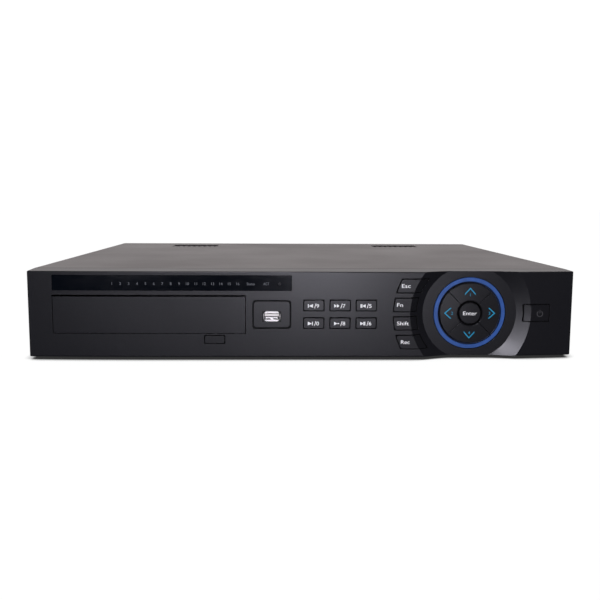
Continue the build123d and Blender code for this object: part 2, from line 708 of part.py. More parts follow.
COVER_FRONT = FACE + BEZEL_DEPTH + 0.4
COVER_BOTTOM = BOTTOM + 0.3
VENT_X = 122.0
VENT_Y = FACE + 346
VENT_SIZE = (56.0, 32.0)
VENT_SINK = 1.2
side_vent_y = [FACE + 250 + 7 * i for i in range(15)]
with BuildPart() as top_cover:
    block((-WIDTH / 2, WIDTH / 2), (COVER_FRONT, REAR), (COVER_BOTTOM, HEIGHT))
    fillet(top_cover.edges().filter_by(Axis.Y).group_by(Axis.Z)[-1], 0.9)
    inner_x = (-WIDTH / 2 + SHEET, WIDTH / 2 - SHEET)
    block(inner_x, (COVER_FRONT - 1, REAR + 1), (COVER_BOTTOM - 1, HEIGHT - SHEET), mode=Mode.SUBTRACT)
    for side in (-1, 1):
        pad_x = side * VENT_X
        block(around(pad_x, VENT_SIZE[0]), around(VENT_Y, VENT_SIZE[1]),
              (HEIGHT - SHEET - VENT_SINK, HEIGHT - SHEET))
        block(around(pad_x, VENT_SIZE[0] - 2), around(VENT_Y, VENT_SIZE[1] - 2),
              (HEIGHT - VENT_SINK, HEIGHT + 1), mode=Mode.SUBTRACT)
        with BuildSketch(Plane.XY.offset(HEIGHT - 4)):
            with Locations((pad_x, VENT_Y)):
                with GridLocations(6.4, 0, 8, 1):
                    SlotOverall(26, 3, rotation=90)
        extrude(amount=8, mode=Mode.SUBTRACT)
        wall_x = sorted((side * (WIDTH / 2 - SHEET - 1), side * (WIDTH / 2 + 1)))
        for y in EAR_Y:
            for z in EAR_Z:
                nut_x = sorted((side * (WIDTH / 2 - SHEET - 2.2), side * (WIDTH / 2 - SHEET / 2)))
                cross_rod(y, z, 4.2, nut_x)
                hole_x = sorted((side * (WIDTH / 2 - 5), side * (WIDTH / 2 + 1)))
                cross_rod(y, z, EAR_R, hole_x, mode=Mode.SUBTRACT)
        for y in side_screw_y:
            cross_rod(y, SIDE_SCREW_Z, 2.9, wall_x, mode=Mode.SUBTRACT)
        side_plane = Plane(origin=(side * (WIDTH / 2 + 1), 0, 0), x_dir=(0, side, 0), z_dir=(side, 0, 0))
        with BuildSketch(side_plane):
            for y in side_vent_y:
                with Locations((side * y, 36)):
                    SlotOverall(30, 2.8, rotation=90)
        extrude(amount=-3, mode=Mode.SUBTRACT)
top_cover.part.label = "top_cover"
export_step(top_cover.part, "parts/top_cover.step")

# ---------------------------------------------------------------- disks

with BuildPart() as disk_cage:
    for x in disk_x:
        low = x - CAGE_GAP - CAGE_T
        high = x + DISK_W + CAGE_GAP + CAGE_T
        cage_y = deep(DISK_DEPTH + 2, DISK_DEPTH + 140)
        block((low, high), cage_y, (FLOOR_TOP + 0.1, FLOOR_TOP + 1.2))
        for plate in ((low, low + CAGE_T), (high - CAGE_T, high)):
            block(plate, cage_y, (FLOOR_TOP + 0.1, 64.5))
            for z in disk_z:
                for y in DISK_SCREW_Y:
                    cross_rod(FACE + DISK_DEPTH + y, z + DISK_SCREW_Z, 1.9, (plate[0] - 1, plate[1] + 1),
                              mode=Mode.SUBTRACT)
                block((plate[0] - 1, plate[1] + 1), deep(DISK_DEPTH + 45, DISK_DEPTH + 112),
                      (z + 4, z + 20), mode=Mode.SUBTRACT)
disk_cage.part.label = "disk_cage"
export_step(disk_cage.part, "parts/disk_cage.step")

with BuildPart() as hard_disks:
    for x in disk_x:
        for z in disk_z:
            block((x, x + DISK_W), deep(DISK_DEPTH, DISK_DEPTH + DISK_LENGTH), (z, z + DISK_H))
            block((x + 4, x + DISK_W - 4), deep(DISK_DEPTH + 40, DISK_DEPTH + 140),
                  (z + DISK_H - 1.2, z + DISK_H + 1), mode=Mode.SUBTRACT)
            block((x + 22, x + 78), deep(DISK_DEPTH + DISK_LENGTH - 6, DISK_DEPTH + DISK_LENGTH + 1),
                  (z - 1, z + 7), mode=Mode.SUBTRACT)
            for side_x in (x, x + DISK_W):
                for y in DISK_SCREW_Y:
                    cross_rod(FACE + DISK_DEPTH + y, z + DISK_SCREW_Z, 1.7, (side_x - 5, side_x + 5),
                              mode=Mode.SUBTRACT)
hard_disks.part.label = "hard_disks"
export_step(hard_disks.part, "parts/hard_disks.step")

# ---------------------------------------------------------------- fasteners

HEAD_R = 2.7
with BuildPart() as machine_screws:
    for side in (-1, 1):
        outer = side * (WIDTH / 2 - 0.05)
        inner_end = side * (WIDTH / 2 - 7)
        neck = side * (WIDTH / 2 - SHEET - 0.05)
        for y in side_screw_y:
            cross_rod(y, SIDE_SCREW_Z, HEAD_R, sorted((outer, neck)))
            cross_rod(y, SIDE_SCREW_Z, SCREW_R, sorted((outer, inner_end)))
            cross_rod(y, SIDE_SCREW_Z, 1.2, sorted((outer, outer - side * 0.7)), mode=Mode.SUBTRACT)
    for x, y in board_screws:
        post(x, y, HEAD_R, (BOARD_TOP, BOARD_TOP + 1.8))
        post(x, y, SCREW_R, (FLOOR_TOP + 0.5, BOARD_TOP + 1))
    for x, z in case_bosses:
        rod(x, z, HEAD_R, deep(WALL_DEPTH[1] + 0.05, WALL_DEPTH[1] + 1.8))
        rod(x, z, PILOT_R - 0.05, deep(BEZEL_DEPTH - 8, WALL_DEPTH[1] + 1))
    for x in disk_x:
        for z in disk_z:
            for y in DISK_SCREW_Y:
                for side in (-1, 1):
                    face_x = x + DISK_W / 2 + side * (DISK_W / 2 + CAGE_GAP + CAGE_T + 0.05)
                    head = sorted((face_x, face_x + side * 1.3))
                    cross_rod(FACE + DISK_DEPTH + y, z + DISK_SCREW_Z, HEAD_R, head)
                    cross_rod(FACE + DISK_DEPTH + y, z + DISK_SCREW_Z, SCREW_R,
                              sorted((face_x + side * 0.5, face_x - side * 5.0)))
machine_screws.part.label = "machine_screws"
export_step(machine_screws.part, "parts/machine_screws.step")

with BuildPart() as rubber_feet:
    for x in (-190, 190):
        for y in (FACE + 72, FACE + 360):
            post(x, y, 9.0, (0, BOTTOM))
    chamfer(rubber_feet.edges().filter_by(GeomType.CIRCLE).group_by(Axis.Z)[0], 0.8)
rubber_feet.part.label = "rubber_feet"
export_step(rubber_feet.part, "parts/rubber_feet.step")

# ---------------------------------------------------------------- main electronics

with BuildPart() as main_board:
    block(MAIN_BOARD_X, MAIN_BOARD_Y, (BOARD_Z, BOARD_TOP))
    for x, y in board_screws:
        post(x, y, 1.7, (BOARD_Z - 1, BOARD_TOP + 1), mode=Mode.SUBTRACT)
main_board.part.label = "main_board"
export_step(main_board.part, "parts/main_board.step")

CHIP = (62.0, FACE + 300)
memory_places = [(104, FACE + 286), (104, FACE + 304), (20, FACE + 286), (20, FACE + 304)]
decoder_places = [(x, FACE + 345) for x in (104, 132, 160, 188)]
CABLE_END_Z = 14.5
CABLE_START = DISK_DEPTH + DISK_LENGTH + 0.5
disk_plugs = [(x + 34, z + 4.5) for x in disk_x for z in disk_z]
HEADER_Y = FACE + BOARD_FRONT + 5
with BuildPart() as board_parts:
    block(around(CHIP[0], 31), around(CHIP[1], 31), (BOARD_TOP, BOARD_TOP + 2.2))
    for x, y in memory_places:
        block(around(x, 14), around(y, 9), (BOARD_TOP, BOARD_TOP + 1.2))
    for x, y in decoder_places:
        block(around(x, 16), around(y, 16), (BOARD_TOP, BOARD_TOP + 1.4))
    for i in range(6):
        post(-20 + 14 * i, FACE + 262, 4.0, (BOARD_TOP, BOARD_TOP + 9))
    for i in range(3):
        block(around(-24 + 18 * i, 12), around(FACE + 330, 12), (BOARD_TOP, BOARD_TOP + 6))
    block((RIBBON_X[0] - 1, RIBBON_X[1] + 1), (HEADER_Y, HEADER_Y + 6), (BOARD_TOP, BOARD_TOP + 6.5))
    for i, (x, z) in enumerate(disk_plugs):
        block(around(x + 9 * (i % 2), 7), (HEADER_Y, HEADER_Y + 5), (BOARD_TOP, BOARD_TOP + 7))
board_parts.part.label = "board_parts"
export_step(board_parts.part, "parts/board_parts.step")

SINK_SIZE = 42.0
with BuildPart() as heat_sink:
    sink_z = BOARD_TOP + 2.3
    block(around(CHIP[0], SINK_SIZE), around(CHIP[1], SINK_SIZE), (sink_z, sink_z + 3))
    for i in range(9):
        fin = CHIP[0] - SINK_SIZE / 2 + 0.6 + 5.1 * i
        block(around(fin, 1.2), around(CHIP[1], SINK_SIZE), (sink_z, sink_z + 14))
heat_sink.part.label = "heat_sink"
export_step(heat_sink.part, "parts/heat_sink.step")

BATTERY = (160.0, FACE + 290)
with BuildPart() as backup_battery:
    post(BATTERY[0], BATTERY[1], 10.0, (BOARD_TOP + 2.0, BOARD_TOP + 5.2))
    post(BATTERY[0], BATTERY[1], 9.0, (BOARD_TOP, BOARD_TOP + 2.1))
backup_battery.part.label = "backup_battery"
export_step(backup_battery.part, "parts/backup_battery.step")

DATA_CABLE_R = 2.2
with BuildPart() as data_cables:
    for i, (x, z) in enumerate(disk_plugs):
        start = (x, FACE + CABLE_START, z)
        end = (x + 9 * (i % 2), HEADER_Y - 0.5, CABLE_END_Z)
        if i % 2:
            route = [start, (x + 1, start[1] + 10, z - 1), (x + 7, start[1] + 16, z - 16),
                     (end[0], end[1] - 9, CABLE_END_Z + 1), end]
        else:
            route = [start, (x + 2, start[1] + 11, z + 1.6), end]
        radii = []
        for before, here, after in zip(route, route[1:], route[2:]):
            run_in = Vector(*here) - Vector(*before)
            run_out = Vector(*after) - Vector(*here)
            turn = radians(run_in.get_angle(run_out))
            radii.append(0.45 * min(run_in.length, run_out.length) / tan(turn / 2))
        with BuildLine():
            FilletPolyline(*route, radius=radii)
        with BuildSketch(Plane(origin=start, z_dir=Vector(*route[1]) - Vector(*start))):
            Circle(DATA_CABLE_R)
        sweep()
data_cables.part.label = "data_cables"
export_step(data_cables.part, "parts/data_cables.step")

with BuildPart() as power_supply:
    block(SUPPLY_X, SUPPLY_Y, (BOARD_Z, BOARD_TOP))
    block((-206, -203), (SUPPLY_Y[0] + 30, SUPPLY_Y[1] - 30), (BOARD_TOP, 40))
    block((-134, -131), (SUPPLY_Y[0] + 20, SUPPLY_Y[1] - 20), (BOARD_TOP, 40))
    block((-182, -150), (SUPPLY_Y[0] + 50, SUPPLY_Y[0] + 80), (BOARD_TOP, 36))
    block((-186, -146), (SUPPLY_Y[0] + 54, SUPPLY_Y[0] + 76), (14, 32))
    post(-186, SUPPLY_Y[1] - 22, 11, (BOARD_TOP, 42))
    for i in range(4):
        post(-176 + 12 * i, SUPPLY_Y[0] + 20, 5, (BOARD_TOP, 30))
    block((-168, -144), (SUPPLY_Y[1] - 34, SUPPLY_Y[1] - 14), (BOARD_TOP, 32))
power_supply.part.label = "power_supply"
export_step(power_supply.part, "parts/power_supply.step")

# ---------------------------------------------------------------- rear connectors

jack_x = [92.0 + 15.8 * i for i in range(8)]
jack_z = (24.0, 48.0)
audio_places = [(55.0, 41.0), (69.0, 41.0), (55.0, 55.0), (69.0, 55.0)]
VGA = (2.0, 19.2)
HDMI = (30.0, 13.8)
LAN = (50.0, 17.6)
REAR_USB = (70.0, 18.7)
ALARM = (15.0, 46.0)
INLET = (-186.0, 32.0)
ROCKER = (-150.0, 32.0)
fan_x = (-92.0, -44.0)
FAN_Z = 34.0
FAN_SIZE = 40.0
HDMI_SIZE = (15.0, 5.6)
LAN_SIZE = (16.0, 13.4)
DUAL_USB_SIZE = (13.4, 15.6)
VGA_SHELL = (17.4, 8.6)
ALARM_SIZE = (31.4, 16.0)
INLET_BODY = (26.8, 19.6)
ROCKER_BODY = (12.8, 19.3)

with BuildPart() as rear_panel:
    block((-INNER_HALF, INNER_HALF), (PANEL_IN, PANEL_OUT), (BOTTOM, HEIGHT - SHEET - 0.1))
    through = (PANEL_IN - 1, PANEL_OUT + 1)
    for x in jack_x:
        for z in jack_z:
            rod(x, z, 4.9, through, mode=Mode.SUBTRACT)
    for x, z in audio_places:
        rod(x, z, 5.0, through, mode=Mode.SUBTRACT)
    for (x, z), (w, h) in (
        (VGA, VGA_SHELL),
        (HDMI, HDMI_SIZE),
        (LAN, LAN_SIZE),
        (REAR_USB, DUAL_USB_SIZE),
        (ALARM, ALARM_SIZE),
        (INLET, INLET_BODY),
        (ROCKER, ROCKER_BODY),
    ):
        block(around(x, w + 0.4), through, around(z, h + 0.4), mode=Mode.SUBTRACT)
    for side in (-1, 1):
        rod(VGA[0] + side * 12.5, VGA[1], 1.7, through, mode=Mode.SUBTRACT)
    for x in fan_x:
        with BuildSketch(Plane.XZ.offset(-(PANEL_OUT + 1))):
            with Locations((x, FAN_Z)):
                for ring in (4.9, 9.8, 14.7):
                    with PolarLocations(ring, round(ring / 4.9 * 6)):
                        Circle(1.9)
        extrude(amount=3, mode=Mode.SUBTRACT)
rear_panel.part.label = "rear_panel"
export_step(rear_panel.part, "parts/rear_panel.step")

rear_plane = Plane(origin=(0, PANEL_OUT, 0), x_dir=(-1, 0, 0), z_dir=(0, 1, 0))
JACK_BACK = 184.8
JACK_NUT_R = 7.2
JACK_NUT_T = 2.6
with BuildPart() as video_jacks:
    for x in jack_x:
        for z in jack_z:
            rod(x, z, 4.8, (JACK_BACK, TAIL))
            with BuildSketch(rear_plane.offset(0.1)):
                with Locations((-x, z)):
                    RegularPolygon(JACK_NUT_R, 6)
            extrude(amount=JACK_NUT_T)
            cross_rod(TAIL - 3.4, z, 1.0, (x - 5.6, x + 5.6))
            rod(x, z, 3.9, (JACK_BACK + 3, TAIL + 1), mode=Mode.SUBTRACT)
video_jacks.part.label = "video_jacks"
export_step(video_jacks.part, "parts/video_jacks.step")

with BuildPart() as jack_insulators:
    for x in jack_x:
        for z in jack_z:
            rod(x, z, 3.1, (JACK_BACK + 3, TAIL - 1.6))
            rod(x, z, 0.8, (JACK_BACK + 8, TAIL), mode=Mode.SUBTRACT)
jack_insulators.part.label = "jack_insulators"
export_step(jack_insulators.part, "parts/jack_insulators.step")

with BuildPart() as jack_board:
    block((84, 211), (JACK_BACK - 1.7, JACK_BACK - 0.1), (BOARD_TOP + 0.3, 60))
    block((-6, 85), (JACK_BACK - 1.7, JACK_BACK - 0.1), (33, 60))
jack_board.part.label = "jack_board"
export_step(jack_board.part, "parts/jack_board.step")

with BuildPart() as audio_jacks:
    for x, z in audio_places:
        rod(x, z, 4.15, (PANEL_OUT - 2.0, TAIL - 3.0))
        rod(x, z, 4.9, (PANEL_OUT - 1.9, PANEL_OUT + 1.2))
        rod(x, z, 3.4, (PANEL_OUT - 3, TAIL), mode=Mode.SUBTRACT)
audio_jacks.part.label = "audio_jacks"
export_step(audio_jacks.part, "parts/audio_jacks.step")


def d_outline(width, height):
    """Five-sided outline of a D-shaped plug, narrower at its foot."""
    slope = height * tan(radians(10))
    Polygon(
        (-width / 2, height / 2),
        (width / 2, height / 2),
        (width / 2 - slope, -height / 2),
        (-width / 2 + slope, -height / 2),
        align=None,
    )
    fillet(vertices(), 1.4)


with BuildPart() as monitor_port:
    with BuildSketch(rear_plane.offset(0.1)):
        with Locations((-VGA[0], VGA[1])):
            RectangleRounded(30.8, 12.5, 1.5)
    extrude(amount=0.8)
    with BuildSketch(rear_plane.offset(-4)):
        with Locations((-VGA[0], VGA[1])):
            d_outline(*VGA_SHELL)
    extrude(amount=10)
    with BuildSketch(rear_plane.offset(-5)):
        with Locations((-VGA[0], VGA[1])):
            d_outline(VGA_SHELL[0] - 0.8, VGA_SHELL[1] - 0.8)
    extrude(amount=14, mode=Mode.SUBTRACT)
    for side in (-1, 1):
        with BuildSketch(rear_plane.offset(0.9)):
            with Locations((-VGA[0] + side * 12.5, VGA[1])):
                RegularPolygon(2.9, 6)
        extrude(amount=5)
        rod(VGA[0] + side * 12.5, VGA[1], 1.3, (PANEL_OUT + 2, TAIL), mode=Mode.SUBTRACT)
monitor_port.part.label = "monitor_port"
export_step(monitor_port.part, "parts/monitor_port.step")

PORT_FRONT = PANEL_OUT + 1.0
LAN_MOUTH = (11.9, 8.4)
PIN_PITCH = 2.29
PIN_ROW = 1.98
USB_STEP = 3.7
with BuildPart() as signal_ports:
    for (x, z), (w, h) in ((HDMI, HDMI_SIZE), (LAN, LAN_SIZE), (REAR_USB, DUAL_USB_SIZE)):
        block(around(x, w), (PORT_FRONT - 16, PORT_FRONT), around(z, h))
    hdmi_y = (PORT_FRONT - 12, PORT_FRONT + 1)
    hdmi_mouth = (HDMI_SIZE[0] - 0.8, HDMI_SIZE[1] - 0.8)
    block(around(HDMI[0], hdmi_mouth[0]), hdmi_y, around(HDMI[1], hdmi_mouth[1]), mode=Mode.SUBTRACT)
    block(around(LAN[0], LAN_MOUTH[0]), (PORT_FRONT - 13, PORT_FRONT + 1),
          around(LAN[1] - 0.6, LAN_MOUTH[1]), mode=Mode.SUBTRACT)
    for step in (-USB_STEP, USB_STEP):
        block(around(REAR_USB[0], 12.6), (PORT_FRONT - 13, PORT_FRONT + 1),
              around(REAR_USB[1] + step, 5.3), mode=Mode.SUBTRACT)
signal_ports.part.label = "signal_ports"
export_step(signal_ports.part, "parts/signal_ports.step")

with BuildPart() as port_inserts:
    block(around(HDMI[0], 10.6), (PORT_FRONT - 11.9, PORT_FRONT - 1.6), around(HDMI[1] + 0.3, 1.2))
    for step in (-USB_STEP, USB_STEP):
        block(around(REAR_USB[0], 11.2), (PORT_FRONT - 12.9, PORT_FRONT - 1.8),
              around(REAR_USB[1] + step + 0.9, 1.9))
    for x, z in audio_places:
        rod(x, z, 3.3, (PANEL_OUT - 2.0, TAIL - 3.4))
        rod(x, z, 1.6, (PANEL_OUT, TAIL), mode=Mode.SUBTRACT)
    with BuildSketch(rear_plane.offset(-3.5)):
        with Locations((-VGA[0], VGA[1])):
            d_outline(VGA_SHELL[0] - 1.0, VGA_SHELL[1] - 1.0)
    extrude(amount=8.2)
    for row in (-1, 0, 1):
        stagger = PIN_PITCH / 4 if row else -PIN_PITCH / 4
        for i in (-2, -1, 0, 1, 2):
            pin_x = VGA[0] + i * PIN_PITCH + stagger
            rod(pin_x, VGA[1] + row * PIN_ROW, 0.55, (PANEL_OUT, TAIL), mode=Mode.SUBTRACT)
port_inserts.part.label = "port_inserts"
export_step(port_inserts.part, "parts/port_inserts.step")

ALARM_PITCH = 3.81
with BuildPart() as alarm_terminals:
    alarm_y = (JACK_BACK + 0.1, PANEL_OUT + 6)
    block(around(ALARM[0], ALARM_SIZE[0]), alarm_y, around(ALARM[1], ALARM_SIZE[1]))
    for row in (-1, 1):
        for i in range(8):
            x = ALARM[0] + (i - 3.5) * ALARM_PITCH
            z = ALARM[1] + row * 4
            block(around(x, 2.7), (PANEL_OUT + 1, PANEL_OUT + 7), around(z - 1.7, 2.8), mode=Mode.SUBTRACT)
            rod(x, z + 1.9, 1.0, (PANEL_OUT + 3, PANEL_OUT + 7), mode=Mode.SUBTRACT)
alarm_terminals.part.label = "alarm_terminals"
export_step(alarm_terminals.part, "parts/alarm_terminals.step")

# ---------------------------------------------------------------- mains side

INLET_T = 2.5
INLET_FRONT = PANEL_OUT + INLET_T
CAVITY = (24.0, 16.2)
CAVITY_DEPTH = 16.6
with BuildPart() as mains_inlet:
    with BuildSketch(rear_plane):
        with Locations((-INLET[0], INLET[1])):
            RectangleRounded(31, 24, 1.5)
    extrude(amount=INLET_T)
    inlet_y = (INLET_FRONT - 19, PANEL_OUT + 0.1)
    block(around(INLET[0], INLET_BODY[0]), inlet_y, around(INLET[1], INLET_BODY[1]))
    with BuildSketch(rear_plane.offset(INLET_T)):
        with Locations((-INLET[0], INLET[1])):
            Rectangle(*CAVITY)
            chamfer(vertices().group_by(Axis.Y)[-1], 4.0)
    extrude(amount=-CAVITY_DEPTH, mode=Mode.SUBTRACT)
mains_inlet.part.label = "mains_inlet"
export_step(mains_inlet.part, "parts/mains_inlet.step")

with BuildPart() as mains_pins:
    for dx, dz in ((-7, -2), (7, -2), (0, 2)):
        block(around(INLET[0] + dx, 2), (INLET_FRONT - CAVITY_DEPTH, INLET_FRONT - 2.6),
              around(INLET[1] + dz, 4))
mains_pins.part.label = "mains_pins"
export_step(mains_pins.part, "parts/mains_pins.step")

ROCKER_TILT = 6.0
ROCKER_WELL = (10.4, 16.8)
ROCKER_PIVOT_Y = PANEL_OUT - 2.6
with BuildPart() as rocker_frame:
    with BuildSketch(rear_plane):
        with Locations((-ROCKER[0], ROCKER[1])):
            RectangleRounded(15.2, 21.4, 1.2)
    extrude(amount=1.6)
    rocker_y = (PANEL_OUT - 14, PANEL_OUT + 0.1)
    block(around(ROCKER[0], ROCKER_BODY[0]), rocker_y, around(ROCKER[1], ROCKER_BODY[1]))
    well_y = (PANEL_OUT - 10, PANEL_OUT + 3)
    block(around(ROCKER[0], ROCKER_WELL[0]), well_y, around(ROCKER[1], ROCKER_WELL[1]), mode=Mode.SUBTRACT)
    cross_rod(ROCKER_PIVOT_Y, ROCKER[1], 1.05, around(ROCKER[0], 12.2), mode=Mode.SUBTRACT)
rocker_frame.part.label = "rocker_frame"
export_step(rocker_frame.part, "parts/rocker_frame.step")

with BuildPart() as power_rocker:
    with BuildSketch(Plane.YZ.offset(ROCKER[0])):
        with Locations(Location((ROCKER_PIVOT_Y, ROCKER[1], 0), (0, 0, ROCKER_TILT))):
            Polygon((5.2, -7.6), (3.7, 0), (5.2, 7.6), (-2, 6.8), (-4, 0), (-2, -6.8), align=None)
    extrude(amount=4.9, both=True)
    cross_rod(ROCKER_PIVOT_Y, ROCKER[1], 1.0, around(ROCKER[0], 12.0))
power_rocker.part.label = "power_rocker"
export_step(power_rocker.part, "parts/power_rocker.step")

# ---------------------------------------------------------------- fans

FAN_REAR = PANEL_IN - 0.1
FAN_THICK = 20.0
BORE_R = 19.0
FAN_HOLE = 16.0
HUB_R = 8.5
HUB_Y = (FAN_REAR - 18.4, FAN_REAR - 3.2)
BLADES = 7
with BuildPart() as fan_frames:
    for x in fan_x:
        block(around(x, FAN_SIZE), (FAN_REAR - FAN_THICK, FAN_REAR), around(FAN_Z, FAN_SIZE))
        rod(x, FAN_Z, BORE_R, (FAN_REAR - FAN_THICK - 1, FAN_REAR + 1), mode=Mode.SUBTRACT)
        for dx in (-FAN_HOLE, FAN_HOLE):
            for dz in (-FAN_HOLE, FAN_HOLE):
                rod(x + dx, FAN_Z + dz, 1.8, (FAN_REAR - FAN_THICK - 1, FAN_REAR + 1), mode=Mode.SUBTRACT)
        rod(x, FAN_Z, HUB_R, (FAN_REAR - 2.6, FAN_REAR))
        for i in range(3):
            with Locations(Location((x, FAN_REAR - 1.3, FAN_Z), (0, 30 + 120 * i, 0))):
                with Locations((13.5, 0, 0)):
                    Box(12.5, 2.2, 2.4)
        rod(x, FAN_Z, 1.06, (FAN_REAR - 4, FAN_REAR - 0.6), mode=Mode.SUBTRACT)
fan_frames.part.label = "fan_frames"
export_step(fan_frames.part, "parts/fan_frames.step")

for name, x in zip(("fan_rotor_left", "fan_rotor_right"), fan_x):
    with BuildPart() as fan_rotor:
        rod(x, FAN_Z, HUB_R, HUB_Y)
        rod(x, FAN_Z, 1.0, (HUB_Y[1] - 1, FAN_REAR - 0.8))
        for i in range(BLADES):
            with Locations(Location((x, sum(HUB_Y) / 2, FAN_Z), (0, 360 / BLADES * i, 0))):
                with Locations((HUB_R + 4.4, 0, 0)):
                    Box(10.0, 13.0, 0.9, rotation=(40, 0, 0))
    fan_rotor.part.label = name
    export_step(fan_rotor.part, f"parts/{name}.step")
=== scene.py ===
"""Looks of the video recorder: finishes, printed legends, small detail, camera and studio."""
import json
import math

import bmesh
import bpy
from mathutils import Matrix, Vector


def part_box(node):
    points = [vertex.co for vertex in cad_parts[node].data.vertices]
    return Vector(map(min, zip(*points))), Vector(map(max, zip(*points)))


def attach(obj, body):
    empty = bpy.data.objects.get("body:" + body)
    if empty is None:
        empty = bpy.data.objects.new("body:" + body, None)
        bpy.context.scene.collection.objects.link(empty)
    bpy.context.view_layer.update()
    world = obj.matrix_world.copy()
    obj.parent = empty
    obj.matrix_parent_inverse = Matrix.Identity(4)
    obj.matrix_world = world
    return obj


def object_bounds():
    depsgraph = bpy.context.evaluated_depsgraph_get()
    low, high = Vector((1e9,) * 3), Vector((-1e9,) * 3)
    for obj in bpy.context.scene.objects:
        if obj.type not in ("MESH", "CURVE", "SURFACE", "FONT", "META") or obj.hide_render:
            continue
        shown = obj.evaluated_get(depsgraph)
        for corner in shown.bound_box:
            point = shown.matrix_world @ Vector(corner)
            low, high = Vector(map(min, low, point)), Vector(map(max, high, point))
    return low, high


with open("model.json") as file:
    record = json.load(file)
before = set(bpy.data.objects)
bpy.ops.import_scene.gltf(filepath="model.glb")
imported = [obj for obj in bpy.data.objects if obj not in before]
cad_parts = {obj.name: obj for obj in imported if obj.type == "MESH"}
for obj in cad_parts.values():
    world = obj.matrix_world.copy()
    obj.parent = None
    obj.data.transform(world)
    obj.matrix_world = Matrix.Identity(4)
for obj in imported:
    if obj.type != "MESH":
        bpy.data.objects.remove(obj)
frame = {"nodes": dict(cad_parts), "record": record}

cad_low, cad_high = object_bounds()
MM = 0.001
scene = bpy.context.scene
scene.view_settings.view_transform = "Standard"

# ---------------------------------------------------------------- camera

CAMERA_PLACE = Vector((-0.0184, -0.8122, 0.1267))
CAMERA_LENS = 46.36
CAMERA_PITCH = math.radians(7.34)
CAMERA_YAW = math.radians(1.48)
CAMERA_ROLL = math.radians(0.27)


def make_camera():
    """Camera at the picture's viewing angle: yaw to the right, pitch down, and a slight roll."""
    data = bpy.data.cameras.new("view")
    data.lens = CAMERA_LENS
    data.clip_start = 0.01
    camera = bpy.data.objects.new("view", data)
    scene.collection.objects.link(camera)
    forward = Vector((
        math.sin(CAMERA_YAW) * math.cos(CAMERA_PITCH),
        math.cos(CAMERA_YAW) * math.cos(CAMERA_PITCH),
        -math.sin(CAMERA_PITCH),
    ))
    right = Vector((math.cos(CAMERA_YAW), -math.sin(CAMERA_YAW), 0))
    up = right.cross(forward)
    across = math.cos(CAMERA_ROLL) * right + math.sin(CAMERA_ROLL) * up
    upward = math.cos(CAMERA_ROLL) * up - math.sin(CAMERA_ROLL) * right
    turn = Matrix((across, upward, -forward)).transposed().to_4x4()
    camera.matrix_world = Matrix.Translation(CAMERA_PLACE) @ turn
    scene.camera = camera


make_camera()

# ---------------------------------------------------------------- shader building


